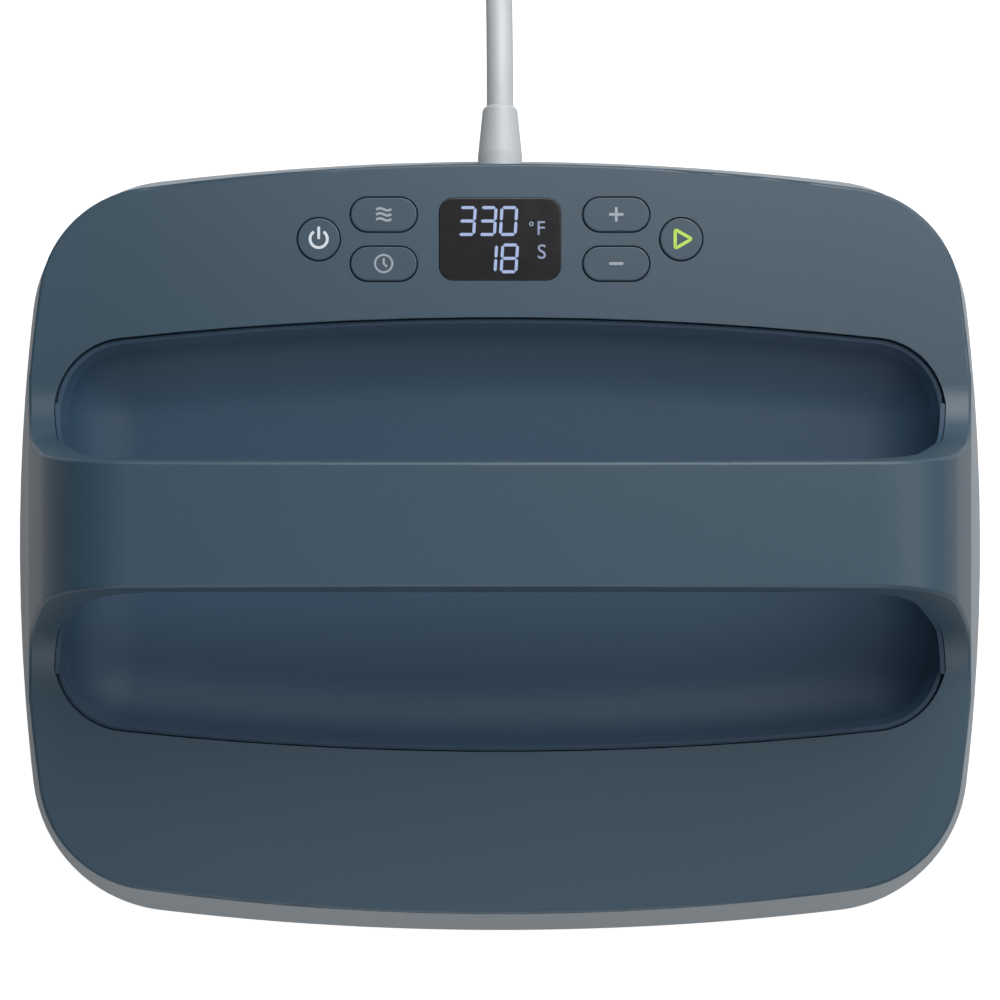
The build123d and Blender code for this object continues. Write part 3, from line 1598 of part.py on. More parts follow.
with BuildPart() as plug_pins:
    plug_face = plug_plane.offset(plug_length)
    with BuildSketch(plug_face):
        with Locations((0, ground_pin_offset / 3)):
            with GridLocations(blade_spacing, 0, 2, 1):
                Rectangle(blade_thickness, blade_width)
    extrude(amount=blade_length)
    with BuildSketch(plug_face):
        with Locations((0, ground_pin_offset / 3 - ground_pin_offset)):
            Circle(ground_pin_diameter / 2)
    extrude(amount=ground_pin_length)
plug_pins.part.label = "plug_pins"
export_step(plug_pins.part, "parts/plug_pins.step")
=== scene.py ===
import math
import bpy
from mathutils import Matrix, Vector


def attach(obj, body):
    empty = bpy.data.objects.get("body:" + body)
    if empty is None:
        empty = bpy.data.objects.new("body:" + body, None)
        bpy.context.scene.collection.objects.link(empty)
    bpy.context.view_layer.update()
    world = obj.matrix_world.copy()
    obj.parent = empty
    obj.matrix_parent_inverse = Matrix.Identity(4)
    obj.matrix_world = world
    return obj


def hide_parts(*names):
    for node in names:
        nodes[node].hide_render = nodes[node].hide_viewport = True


# Handheld heat press seen from straight above, standing on its plate, its cord leaving at the rear.
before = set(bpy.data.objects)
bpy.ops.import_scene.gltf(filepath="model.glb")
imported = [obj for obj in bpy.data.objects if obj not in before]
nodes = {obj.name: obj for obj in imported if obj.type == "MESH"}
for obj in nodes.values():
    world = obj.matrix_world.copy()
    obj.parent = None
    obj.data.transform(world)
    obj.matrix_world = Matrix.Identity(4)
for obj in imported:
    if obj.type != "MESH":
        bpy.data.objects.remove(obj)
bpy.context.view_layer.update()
scene = bpy.context.scene
mm = 0.001
keyNames = ("power", "temperature", "timer", "plus", "minus", "start")
# two places nearer than this, in metres, are the same place
nearEnough = 1e-7
# faces that meet at more than this many degrees keep a sharp edge
sharpAngle = 35


# selecting, shaping and finishing as by hand
def deselectAll():
    if bpy.context.object and bpy.context.object.mode != "OBJECT":
        bpy.ops.object.mode_set(mode="OBJECT")
    bpy.ops.object.select_all(action="DESELECT")


def pick(obj):
    deselectAll()
    obj.select_set(True)
    bpy.context.view_layer.objects.active = obj
    return obj


def selectFaces(obj, wanted):
    # wanted(centre, normal) says which faces stay selected, seen in the object's own space
    bpy.ops.object.mode_set(mode="EDIT")
    bpy.ops.mesh.select_mode(type="FACE")
    bpy.ops.mesh.select_all(action="DESELECT")
    bpy.ops.object.mode_set(mode="OBJECT")
    for face in obj.data.polygons:
        face.select = bool(wanted(face.center, face.normal))
    bpy.ops.object.mode_set(mode="EDIT")


def selectEdges(obj, wanted):
    # wanted(first, second) says which edges stay selected, by their two ends
    bpy.ops.object.mode_set(mode="EDIT")
    bpy.ops.mesh.select_mode(type="EDGE")
    bpy.ops.mesh.select_all(action="DESELECT")
    bpy.ops.object.mode_set(mode="OBJECT")
    points = obj.data.vertices
    for edge in obj.data.edges:
        edge.select = bool(wanted(points[edge.vertices[0]].co, points[edge.vertices[1]].co))
    bpy.ops.object.mode_set(mode="EDIT")


def applyPlace(obj):
    pick(obj)
    bpy.ops.object.transform_apply(location=True, rotation=True, scale=True)
    return obj


def give(obj, name, body, material):
    # name, finish, smoothing and body of a piece whose shape is done
    obj.name = name
    obj.data.name = name
    obj.data.materials.clear()
    obj.data.materials.append(material)
    pick(obj)
    bpy.ops.object.shade_smooth_by_angle(angle=math.radians(sharpAngle))
    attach(obj, body)


def joinPieces(pieces):
    deselectAll()
    for piece in pieces:
        piece.select_set(True)
    bpy.context.view_layer.objects.active = pieces[0]
    bpy.ops.object.join()
    return bpy.context.object


def copyOf(obj):
    pick(obj)
    bpy.ops.object.duplicate(linked=False)
    return bpy.context.object


# colours and shader nodes
def hexColour(code):
    parts = [int(code[i:i + 2], 16) / 255 for i in (1, 3, 5)]
    linear = [p / 12.92 if p <= 0.04045 else ((p + 0.055) / 1.055) ** 2.4 for p in parts]
    return (*linear, 1)


def setSockets(tree, node, values):
    # a value is another node's output to link, or a plain value
    for socket, value in values.items():
        if isinstance(value, bpy.types.NodeSocket):
            tree.links.new(value, node.inputs[socket])
        else:
            node.inputs[socket].default_value = value


def addNode(tree, kind, values, **settings):
    node = tree.nodes.new(kind)
    for key, value in settings.items():
        setattr(node, key, value)
    setSockets(tree, node, values)
    return node


def newMaterial(name):
    material = bpy.data.materials.new(name)
    material.use_nodes = True
    return material, material.node_tree, material.node_tree.nodes["Principled BSDF"]


def objectPlace(tree):
    return addNode(tree, "ShaderNodeTexCoord", {}).outputs["Object"]


def noise(tree, place, grainMm, detail):
    # cloudy pattern whose clouds are about grainMm across, in object space measured in metres
    values = {"Vector": place, "Scale": 1000 / grainMm, "Detail": detail}
    return addNode(tree, "ShaderNodeTexNoise", values).outputs["Fac"]


def twoTones(tree, pattern, look):
    values = {0: pattern, 6: hexColour(look["colour"]), 7: hexColour(look["drifted"])}
    return addNode(tree, "ShaderNodeMix", values, data_type="RGBA").outputs[2]


def unevenGloss(tree, pattern, roughness, spread):
    values = {"Value": pattern, "To Min": roughness - spread, "To Max": roughness + spread}
    return addNode(tree, "ShaderNodeMapRange", values).outputs["Result"]


def bumps(tree, pattern, strength, depth):
    values = {"Height": pattern, "Strength": strength, "Distance": depth}
    return addNode(tree, "ShaderNodeBump", values).outputs["Normal"]


def mouldedFinish(name, look):
    # injection moulding: a fine spark-eroded grain, and flow that drifts the colour over centimetres
    material, tree, shader = newMaterial(name)
    place = objectPlace(tree)
    drift = noise(tree, place, look["driftMm"], 2.0)
    grain = noise(tree, place, look["grainMm"], 3.0)
    grainDepth = look["grainMm"] * mm / 4
    setSockets(tree, shader, {
        "Base Color": twoTones(tree, drift, look),
        "Roughness": unevenGloss(tree, grain, look["roughness"], 0.05),
        "Normal": bumps(tree, grain, look["relief"], grainDepth),
        "IOR": look.get("ior", 1.5),
    })
    return material


def metalFinish(name, look):
    # streaks along one axis where the metal was drawn, even mottling where it was cast
    material, tree, shader = newMaterial(name)
    values = {"Vector": objectPlace(tree), "Scale": look["stretch"]}
    stretched = addNode(tree, "ShaderNodeMapping", values).outputs["Vector"]
    streaks = noise(tree, stretched, look["grainMm"], 4.0)
    streakDepth = 0.04 * mm
    setSockets(tree, shader, {
        "Base Color": twoTones(tree, streaks, look),
        "Roughness": unevenGloss(tree, streaks, look["roughness"], 0.08),
        "Metallic": look.get("metallic", 1.0),
        "Normal": bumps(tree, streaks, look["relief"], streakDepth),
    })
    return material


def inkFinish(name, look):
    # pad-printed ink: flat, a little thinner here and there
    material, tree, shader = newMaterial(name)
    colour = twoTones(tree, noise(tree, objectPlace(tree), look["grainMm"], 2.0), look)
    setSockets(tree, shader, {
        "Base Color": colour,
        "Roughness": look["roughness"],
        "Emission Color": colour,
        "Emission Strength": look["glow"],
    })
    return material


def paint(node, material):
    for slot in node.material_slots:
        slot.material = material


print("helpers ready")

# camera, straight above a little in front of the middle
camera = {
    "height": 0.647,
    "place": (0.0, -0.0345),
    "lens": 64.8,
    "sensor": 36.0,
    "rise": 0.144,
}
cameraData = bpy.data.cameras.new("pressCamera")
cameraData.lens = camera["lens"]
cameraData.sensor_width = camera["sensor"]
cameraData.shift_y = camera["rise"]
cameraObject = bpy.data.objects.new("pressCamera", cameraData)
cameraObject.location = (*camera["place"], camera["height"])
scene.collection.objects.link(cameraObject)
scene.camera = cameraObject
scene.view_settings.view_transform = "Standard"
print("camera set")

# cord: out of the relief, down to the floor, five turns in two layers, and on to the plug
cordValues = {
    "diameter": 9.0,
    "length": 1.745,
    "exit": (0.0, 148.5, 33.0),
    "straight": 30.0,
    "lastRun": 44.0,
    "coilRadius": 49.5,
    "coilPitch": 9.7,
    "coilTurns": 5,
    "coilY": 277.0,
    "layerStep": 9.5,
    "plugLead": 47.0,
    # share of a turn on either side of the middle that the cord takes to climb to the upper layer
    "climb": 0.25,
    "pointsPerTurn": 24,
}
coilX = cordValues["coilRadius"] + cordValues["coilPitch"] * cordValues["coilTurns"] / 4


def coilPoint(turn):
    # centre line after so many turns, in millimetres: in on the floor, up a layer, out on top
    blend = cordValues["climb"]
    away = turn - cordValues["coilTurns"] / 2
    swing = abs(away) if abs(away) > blend else (away * away + blend * blend) / (2 * blend)
    radius = cordValues["coilRadius"] + cordValues["coilPitch"] * (swing - cordValues["coilTurns"] / 4)
    climb = min(max((away + blend) / (2 * blend), 0), 1)
    height = cordValues["diameter"] / 2 + cordValues["layerStep"] * climb * climb * (3 - 2 * climb)
    angle = math.pi - 2 * math.pi * turn
    x = coilX + radius * math.cos(angle)
    y = cordValues["coilY"] + radius * math.sin(angle)
    return Vector((x, y, height))


def coilWay(turn):
    # which way the cord runs there, from two places close together
    near = 0.0005
    return (coilPoint(turn + near) - coilPoint(turn - near)).normalized()


lastTurn = cordValues["coilTurns"]
coilStart = coilPoint(0) - coilWay(0) * cordValues["diameter"]
coilEnd = coilPoint(lastTurn) + coilWay(lastTurn) * cordValues["diameter"]
plugEntry = coilEnd + coilWay(lastTurn) * cordValues["plugLead"]
cordExit = Vector(cordValues["exit"])
cordRoute = [
    cordExit,
    cordExit + Vector((0, cordValues["straight"], 0)),
    coilStart - coilWay(0) * cordValues["lastRun"],
    coilStart,
]
steps = cordValues["pointsPerTurn"]
cordRoute += [coilPoint(step / steps) for step in range(lastTurn * steps + 1)]
cordRoute += [coilEnd, plugEntry]
cordCurve = bpy.data.curves.new("cord", "CURVE")
cordCurve.dimensions = "3D"
cordCurve.bevel_depth = cordValues["diameter"] / 2 * mm
cordCurve.bevel_resolution = 7
cordCurve.resolution_u = 8
cordCurve.use_fill_caps = True
spline = cordCurve.splines.new("NURBS")
spline.points.add(len(cordRoute) - 1)
for point, place in zip(spline.points, cordRoute):
    point.co = (*(place * mm), 1)
spline.order_u = 3
spline.use_endpoint_u = True
cord = bpy.data.objects.new("cord", cordCurve)
scene.collection.objects.link(cord)
# soft PVC sheath: satin, faintly orange-peeled by the extruder
cordCurve.materials.append(mouldedFinish("extrudedPvcCord", {
    "colour": "#B2B6B9", "drifted": "#ACB0B3", "driftMm": 40,
    "grainMm": 0.9, "relief": 0.15, "roughness": 0.42,
}))
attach(cord, "press")
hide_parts("mains_cord", "cord_coil", "plug_lead")
print("cord laid")

# finishes of the metal pieces
metalLooks = {
    # die-cast plate with a sintered non-stick coat on its face: dark, finely speckled
    "sinteredPlateCoat": {
        "colour": "#3B3D40", "drifted": "#6A6C70",
        "grainMm": 0.8, "stretch": (1, 1, 1), "relief": 0.3, "roughness": 0.48, "metallic": 0.35,
    },
    # zinc-plated pressed steel: pale, brushed along X
    "zincSteel": {
        "colour": "#A9ABAD", "drifted": "#8E9193",
        "grainMm": 0.5, "stretch": (0.1, 1, 1), "relief": 0.2, "roughness": 0.36,
    },
    # aluminised sheet of the shield: spangled
    "aluminisedSheet": {
        "colour": "#B8BABC", "drifted": "#9A9C9F",
        "grainMm": 6.0, "stretch": (1, 1, 1), "relief": 0.1, "roughness": 0.34,
    },
    # incoloy sheath of the element: drawn tube, browned by heat
    "incoloySheath": {
        "colour": "#6B625A", "drifted": "#57504B",
        "grainMm": 3.0, "stretch": (1, 1, 1), "relief": 0.25, "roughness": 0.5,
    },
    # extruded aluminium of the heatsink, drawn upwards
    "extrudedAluminium": {
        "colour": "#9EA1A4", "drifted": "#87898C",
        "grainMm": 0.6, "stretch": (1, 1, 0.1), "relief": 0.2, "roughness": 0.4,
    },
    # laminated transformer core, dark sheets side by side
    "laminatedCore": {
        "colour": "#4C4D50", "drifted": "#303134",
        "grainMm": 0.7, "stretch": (1, 0.05, 0.05), "relief": 0.5, "roughness": 0.5,
    },
    # nickel-plated brass of the pins
    "nickelledBrass": {
        "colour": "#C9C3B2", "drifted": "#B9B3A2",
        "grainMm": 0.5, "stretch": (1, 0.1, 1), "relief": 0.1, "roughness": 0.24,
    },
}

# finishes of everything moulded, woven or extruded
mouldedLooks = {
    # ABS, spark-eroded matt: soft sheen at grazing light and no clear reflection
    "matteAbsShell": {
        "colour": "#2A4150", "drifted": "#2C4352", "driftMm": 70,
        "grainMm": 0.5, "relief": 0.25, "roughness": 0.44,
    },
    "matteAbsLiner": {
        "colour": "#233C51", "drifted": "#253E53", "driftMm": 70,
        "grainMm": 0.6, "relief": 0.3, "roughness": 0.62, "ior": 1.44,
    },
    # glass-filled PBT of the housing: mid grey, a little glossier than the shell
    "glassFilledPbtHousing": {
        "colour": "#858D93", "drifted": "#80888E", "driftMm": 60,
        "grainMm": 0.5, "relief": 0.2, "roughness": 0.42,
    },
    # silicone-soft keys, a shade darker than the shell
    "siliconeKey": {
        "colour": "#29404F", "drifted": "#2B4251", "driftMm": 20,
        "grainMm": 0.3, "relief": 0.2, "roughness": 0.46,
    },
    # smoked acrylic window: nearly black, polished
    "smokedAcrylic": {
        "colour": "#1D1D1F", "drifted": "#1F1F21", "driftMm": 30,
        "grainMm": 4.0, "relief": 0.01, "roughness": 0.2, "ior": 1.49,
    },
    # glazed steatite of the terminals
    "glazedSteatite": {
        "colour": "#DAD6C8", "drifted": "#CFCABA", "driftMm": 6,
        "grainMm": 1.2, "relief": 0.1, "roughness": 0.28,
    },
    # needled ceramic fibre: cream, matted
    "needledFibre": {
        "colour": "#DCD8C9", "drifted": "#C3BEAC", "driftMm": 5,
        "grainMm": 1.4, "relief": 1.0, "roughness": 0.9,
    },
    # glass-epoxy board under green solder mask
    "solderMask": {
        "colour": "#14522A", "drifted": "#0F4623", "driftMm": 8,
        "grainMm": 1.0, "relief": 0.1, "roughness": 0.32,
    },
    # epoxy of the small components
    "blackEpoxy": {
        "colour": "#1B1B1D", "drifted": "#222225", "driftMm": 5,
        "grainMm": 0.4, "relief": 0.3, "roughness": 0.5,
    },
    "greenNylon": {
        "colour": "#1F7A43", "drifted": "#1B6F3C", "driftMm": 8,
        "grainMm": 0.6, "relief": 0.2, "roughness": 0.4,
    },
    "yellowFilmCase": {
        "colour": "#D9A21C", "drifted": "#CE9818", "driftMm": 8,
        "grainMm": 0.6, "relief": 0.1, "roughness": 0.35,
    },
    "blueRelayCase": {
        "colour": "#1C4F96", "drifted": "#19488A", "driftMm": 8,
        "grainMm": 0.6, "relief": 0.1, "roughness": 0.3,
    },
    "whiteReflector": {
        "colour": "#DCDCDA", "drifted": "#D2D2D0", "driftMm": 6,
        "grainMm": 0.5, "relief": 0.1, "roughness": 0.4,
    },
    # closed-cell foam and rubber of gasket and grommets
    "closedCellRubber": {
        "colour": "#1E1F21", "drifted": "#28292B", "driftMm": 3,
        "grainMm": 0.5, "relief": 0.7, "roughness": 0.85,
    },
    "greyRibbonPvc": {
        "colour": "#9A9CA0", "drifted": "#8C8E92", "driftMm": 2,
        "grainMm": 0.6, "relief": 0.3, "roughness": 0.5,
    },
    "brownLeadPvc": {
        "colour": "#5A2F1B", "drifted": "#512A18", "driftMm": 10,
        "grainMm": 0.5, "relief": 0.1, "roughness": 0.4,
    },
    # glass braid of the hot leads
    "redGlassBraid": {
        "colour": "#9E2A22", "drifted": "#8A241D", "driftMm": 2,
        "grainMm": 0.7, "relief": 0.9, "roughness": 0.7,
    },
    "whitePtfeLead": {
        "colour": "#DEDEDA", "drifted": "#D4D4D0", "driftMm": 4,
        "grainMm": 0.4, "relief": 0.1, "roughness": 0.35,
    },
    # PVC overmoulded on the cord: relief and plug
    "overmouldedPvc": {
        "colour": "#AFB3B6", "drifted": "#AAAEB1", "driftMm": 20,
        "grainMm": 0.7, "relief": 0.2, "roughness": 0.44,
    },
}
finishes = {name: metalFinish(name, look) for name, look in metalLooks.items()}
finishes.update({name: mouldedFinish(name, look) for name, look in mouldedLooks.items()})

# which pieces of the frame wear which finish, their shapes as they are
keyCaps = [name + "_button" for name in keyNames]
keyPlungers = [name + "_plunger" for name in keyNames]
wornBy = {
    "matteAbsShell": ["upper_shell"],
    "matteAbsLiner": ["dish_liner", "left_arm_liner", "right_arm_liner", "grip_underside"],
    "glassFilledPbtHousing": ["base_housing"],
    "siliconeKey": keyCaps,
    "sinteredPlateCoat": ["heat_plate"],
    "nickelledBrass": ["plug_pins"],
    "zincSteel": [
        "plate_standoffs", "standoff_screws", "thermal_fuse", "fuse_clip", "temperature_sensor",
        "clip_screws", "clamp_screws", "case_screws", "grip_screws", "power_board_screws",
        "display_board_screws",
    ],
    "aluminisedSheet": ["heat_shield"],
    "incoloySheath": ["heating_element"],
    "extrudedAluminium": ["triac_heatsink"],
    "laminatedCore": ["transformer"],
    "glazedSteatite": ["element_terminals"],
    "needledFibre": ["insulation_blanket"],
    "solderMask": ["power_board", "display_board"],
    "blackEpoxy": ["triac", "switch_bodies", "buzzer", "cord_clamp", *keyPlungers],
    "greenNylon": ["terminal_block"],
    "yellowFilmCase": ["filter_capacitor"],
    "blueRelayCase": ["relay"],
    "whiteReflector": ["display_module"],
    "closedCellRubber": ["window_gasket", "lead_grommets"],
    "greyRibbonPvc": ["ribbon_cable"],
    "brownLeadPvc": ["mains_leads"],
    "redGlassBraid": ["element_leads"],
    "whitePtfeLead": ["sensor_lead"],
    "overmouldedPvc": ["strain_relief", "inner_cord", "plug_body"],
}
for finish, names in wornBy.items():
    for name in names:
        paint(nodes[name], finishes[finish])
print("finishes given")

# dish liner: its rim sits deeper than that of the frame's own piece, so the seam reads as a dark line
rimValues = {
    # heights between which the drop grows from nothing to its whole
    "from": 52.0,
    "to": 56.2,
    "drop": 1.2,
}


def deepRimLiner():
    # the copy keeps the finish and the smoothing of the frame's piece
    v = rimValues
    liner = copyOf(nodes["dish_liner"])
    for vertex in liner.data.vertices:
        part = min(max((vertex.co.z / mm - v["from"]) / (v["to"] - v["from"]), 0), 1)
        vertex.co.z -= v["drop"] * part * part * (3 - 2 * part) * mm
    liner.name = "dishLiner"
    liner.data.name = "dishLiner"
    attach(liner, "press")
    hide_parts("dish_liner")


deepRimLiner()
print("liner seated")

# display window: flange under the deck, raised pane with a polished edge
windowValues = {
    "centre": (0.0, 98.2),
    "pane": (39.8, 27.0),
    "corner": 4.7,
    "flange": 2.0,
    "flangeBottom": 52.4,
    "flangeTop": 53.4,
    "top": 57.0,
    "edge": 0.2,
    "ring": 0.1,
}


def windowPane():
    v = windowValues
    middle = (v["flangeBottom"] + v["flangeTop"]) / 2
    across, deep = (side + 2 * v["flange"] for side in v["pane"])
    deselectAll()
    bpy.ops.mesh.primitive_cube_add(
        size=1, location=(v["centre"][0] * mm, v["centre"][1] * mm, middle * mm)
    )
    pane = bpy.context.object
    pane.scale = (across * mm, deep * mm, (v["flangeTop"] - v["flangeBottom"]) * mm)
    applyPlace(pane)
    selectEdges(pane, lambda a, b: abs(a.z - b.z) > nearEnough)
    bpy.ops.mesh.bevel(offset=(v["corner"] + v["flange"]) * mm, segments=12, affect="EDGES")
    selectFaces(pane, lambda c, n: n.z > 0.9)
    bpy.ops.mesh.inset(thickness=v["flange"] * mm)
    lift = (v["top"] - v["flangeTop"]) * mm
    bpy.ops.mesh.extrude_region_move(TRANSFORM_OT_translate={"value": (0, 0, lift)})
    bpy.ops.mesh.bevel(offset=v["edge"] * mm, segments=3, affect="EDGES")
    bpy.ops.object.mode_set(mode="OBJECT")
    # a narrow ring inside the rounded edge keeps the face itself flat to the light
    selectFaces(pane, lambda c, n: n.z > 0.999 and c.z > v["top"] * mm - nearEnough)
    bpy.ops.mesh.inset(thickness=v["ring"] * mm)
    bpy.ops.object.mode_set(mode="OBJECT")
    give(pane, "displayWindow", "press", finishes["smokedAcrylic"])
    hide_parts("display_window")


windowPane()
print("window set")

# lit figures on the window: pale segments with pointed ends, and two small letters
figureValues = {
    "height": 9.8,
    "width": 5.85,
    "stroke": 1.0,
    "gap": 0.14,
    "slant": 0.06,
    "surface": 57.0,
    "rise": 0.06,
    # figures, their left sides and the foot of their line
    "upper": ("330", (-14.0, -7.2, -0.4), 99.24),
    "lower": ("18", (-7.0, -0.15), 87.0),
    # letter, left side, foot, height
    "letters": (("F", 11.85, 99.6, 4.75), ("S", 12.15, 91.85, 4.85)),
    "fontSize": 1.38,
    "fontWeight": 0.01,
    # centre, outer radius, stroke
    "degree": (10.3, 103.2, 0.75, 0.35),
}
litFigure = inkFinish("litFigure", {
    "colour": "#8C9ABC", "drifted": "#8896B8", "grainMm": 0.4, "roughness": 0.3, "glow": 0.35,
})
litSign = inkFinish("litSign", {
    "colour": "#828DA6", "drifted": "#7E89A2", "grainMm": 0.4, "roughness": 0.3, "glow": 0.15,
})
segmentsOf = {"0": "abcdef", "1": "bc", "3": "abcdg", "8": "abcdefg"}


def segmentBar(length, stroke):
    # one bar along X, both ends drawn to a point
    deselectAll()
    bpy.ops.mesh.primitive_plane_add(size=1, location=(0, 0, 0))
    bar = bpy.context.object
    bar.scale = ((length - stroke) * mm, stroke * mm, 1)
    applyPlace(bar)
    for side in (-1, 1):
        selectEdges(bar, lambda a, b: a.x * side > 0 and abs(a.x - b.x) < nearEnough)
        reach = side * stroke / 2 * mm
        bpy.ops.mesh.extrude_edges_move(TRANSFORM_OT_translate={"value": (reach, 0, 0)})
        bpy.ops.mesh.merge(type="CENTER")
        bpy.ops.object.mode_set(mode="OBJECT")
    return bar


def standUp(mark, surface, rise):
    # a flat mark becomes a film that stands a little proud of its surface
    pick(mark)
    film = mark.modifiers.new("film", "SOLIDIFY")
    film.thickness = rise * mm
    film.offset = 1
    bpy.ops.object.modifier_apply(modifier=film.name)
    for vertex in mark.data.vertices:
        vertex.co.z += (surface - rise / 2) * mm


def figureSegments(text, lefts, bottom):
    v = figureValues
    half = v["height"] / 2
    inner = v["stroke"] / 2
    across = v["width"] - v["stroke"] - 2 * v["gap"]
    upright = half - inner - 2 * v["gap"]
    middle = v["width"] / 2
    right = v["width"] - inner
    high = half * 1.5 - inner / 2
    low = half / 2 + inner / 2
    # middle of each segment, and how far it turns from lying flat
    placesOf = {
        "a": (middle, v["height"] - inner, 0), "g": (middle, half, 0), "d": (middle, inner, 0),
        "f": (inner, high, 90), "b": (right, high, 90),
        "e": (inner, low, 90), "c": (right, low, 90),
    }
    flat = segmentBar(across, v["stroke"])
    tall = segmentBar(upright, v["stroke"])
    made = []
    for figure, left in zip(text, lefts):
        for segment in segmentsOf[figure]:
            x, y, turn = placesOf[segment]
            bar = copyOf(tall if turn else flat)
            bar.rotation_euler = (0, 0, math.radians(turn))
            bar.location = ((left + x) * mm, (bottom + y) * mm, 0)
            applyPlace(bar)
            for vertex in bar.data.vertices:
                vertex.co.x += v["slant"] * (vertex.co.y - bottom * mm)
            made.append(bar)
    for spare in (flat, tall):
        bpy.data.objects.remove(spare)
    return made


def letterMark(letter, left, bottom, height):
    deselectAll()
    bpy.ops.object.text_add(location=(left * mm, bottom * mm, 0))
    text = bpy.context.object
    text.data.body = letter
    text.data.size = height * mm * figureValues["fontSize"]
    text.data.offset = figureValues["fontWeight"] * mm
    bpy.ops.object.convert(target="MESH")
    mark = applyPlace(bpy.context.object)
    bpy.ops.object.mode_set(mode="EDIT")
    bpy.ops.mesh.select_all(action="SELECT")
    bpy.ops.mesh.remove_doubles(threshold=0.001 * mm)
    bpy.ops.object.mode_set(mode="OBJECT")
    return mark


def ringMark(centre, outer, stroke, count=64):
    # flat ring: a circle drawn inwards by its stroke
    deselectAll()
    bpy.ops.mesh.primitive_circle_add(
        vertices=count, radius=outer * mm, fill_type="NGON",
        location=(centre[0] * mm, centre[1] * mm, 0),
    )
    ring = applyPlace(bpy.context.object)
    selectFaces(ring, lambda c, n: True)
    bpy.ops.mesh.inset(thickness=stroke * mm)
    bpy.ops.mesh.delete(type="FACE")
    bpy.ops.object.mode_set(mode="OBJECT")
    return ring


def barMark(centre, length, stroke, turn=0):
    # flat bar with rounded ends
    rounding = 0.42 * stroke
    deselectAll()
    bpy.ops.mesh.primitive_plane_add(size=1, location=(0, 0, 0))
    bar = bpy.context.object
    bar.scale = (length * mm, stroke * mm, 1)
    applyPlace(bar)
    bpy.ops.object.mode_set(mode="EDIT")
    bpy.ops.mesh.select_mode(type="VERT")
    bpy.ops.mesh.select_all(action="SELECT")
    bpy.ops.mesh.bevel(offset=rounding * mm, segments=4, affect="VERTICES")
    bpy.ops.object.mode_set(mode="OBJECT")
    bar.rotation_euler = (0, 0, math.radians(turn))
    bar.location = (centre[0] * mm, centre[1] * mm, 0)
    return applyPlace(bar)


def placeMarks(marks, name, body, material, surface, rise):
    mark = joinPieces(marks) if len(marks) > 1 else pick(marks[0])
    standUp(mark, surface, rise)
    bpy.ops.object.mode_set(mode="EDIT")
    bpy.ops.mesh.select_all(action="SELECT")
    bpy.ops.mesh.normals_make_consistent(inside=False)
    bpy.ops.object.mode_set(mode="OBJECT")
    give(mark, name, body, material)


def onWindow(marks, name, material):
    placeMarks(marks, name, "press", material, figureValues["surface"], figureValues["rise"])


figures = figureSegments(*figureValues["upper"]) + figureSegments(*figureValues["lower"])
onWindow(figures, "displayFigures", litFigure)
x, y, outer, stroke = figureValues["degree"]
signs = [letterMark(*letter) for letter in figureValues["letters"]]
onWindow(signs + [ringMark((x, y), outer, stroke, 24)], "displaySigns", litSign)
print("figures lit")

# marks on the keys
markValues = {
    "surface": 57.3,
    "rise": 0.05,
    "stroke": 0.92,
    "power": {"centre": (-59.4, 98.2), "radius": 3.28, "gap": 62, "bar": (-0.1, 4.1)},
    "temperature": {
        "centre": (-38.1, 106.25), "length": 5.0, "stroke": 0.78,
        "step": 1.65, "sway": 0.36, "periods": 1.05, "points": 21,
    },
    "timer": {
        "centre": (-38.1, 90.15), "radius": 3.15, "stroke": 0.64,
        "handStroke": 0.74, "hands": (1.75, 1.5),
    },
    "plus": {"centre": (38.1, 106.25), "length": 4.7, "stroke": 0.9},
    "minus": {"centre": (38.1, 90.15), "length": 4.7},
    "start": {"centre": (59.2, 98.2), "radius": 4.65, "stroke": 1.05, "rounding": 1.7},
}
whiteInk = inkFinish("whitePadPrint", {
    "colour": "#C6CFD6", "drifted": "#C0C9D0", "grainMm": 0.3, "roughness": 0.45, "glow": 0.0,
})
greyInk = inkFinish("greyPadPrint", {
    "colour": "#929AA1", "drifted": "#8D959C", "grainMm": 0.3, "roughness": 0.45, "glow": 0.0,
})
limeInk = inkFinish("limePadPrint", {
    "colour": "#A8D04C", "drifted": "#A3CB48", "grainMm": 0.3, "roughness": 0.45, "glow": 0.0,
})


def onKey(marks, key, material):
    v = markValues
    placeMarks(marks, key + "Mark", key + "_key", material, v["surface"], v["rise"])


def powerMark():
    v = markValues["power"]
    cx, cy = v["centre"]
    halfGap = math.radians(v["gap"] / 2)
    ring = ringMark((cx, cy), v["radius"], markValues["stroke"])
    selectFaces(ring, lambda c, n: abs(math.atan2(c.x - cx * mm, c.y - cy * mm)) < halfGap)
    bpy.ops.mesh.delete(type="FACE")
    bpy.ops.object.mode_set(mode="OBJECT")
    low, high = v["bar"]
    bar = barMark((cx, cy + (low + high) / 2), high - low, markValues["stroke"], 90)
    return [ring, bar]


def stripMark(points, stroke):
    # flat strip that follows a line of points, square to it all along
    deselectAll()
    bpy.ops.mesh.primitive_plane_add(size=1, location=(0, 0, 0))
    strip = bpy.context.object
    selectEdges(strip, lambda a, b: abs(a.y - b.y) < nearEnough)
    bpy.ops.mesh.subdivide(number_cuts=len(points) - 2)
    bpy.ops.object.mode_set(mode="OBJECT")
    for vertex in strip.data.vertices:
        place = round((vertex.co.x + 0.5) * (len(points) - 1))
        before = Vector(points[max(place - 1, 0)])
        after = Vector(points[min(place + 1, len(points) - 1)])
        way = (after - before).normalized()
        side = math.copysign(stroke / 2, vertex.co.y)
        vertex.co.x = (points[place][0] - way.y * side) * mm
        vertex.co.y = (points[place][1] + way.x * side) * mm
    return strip


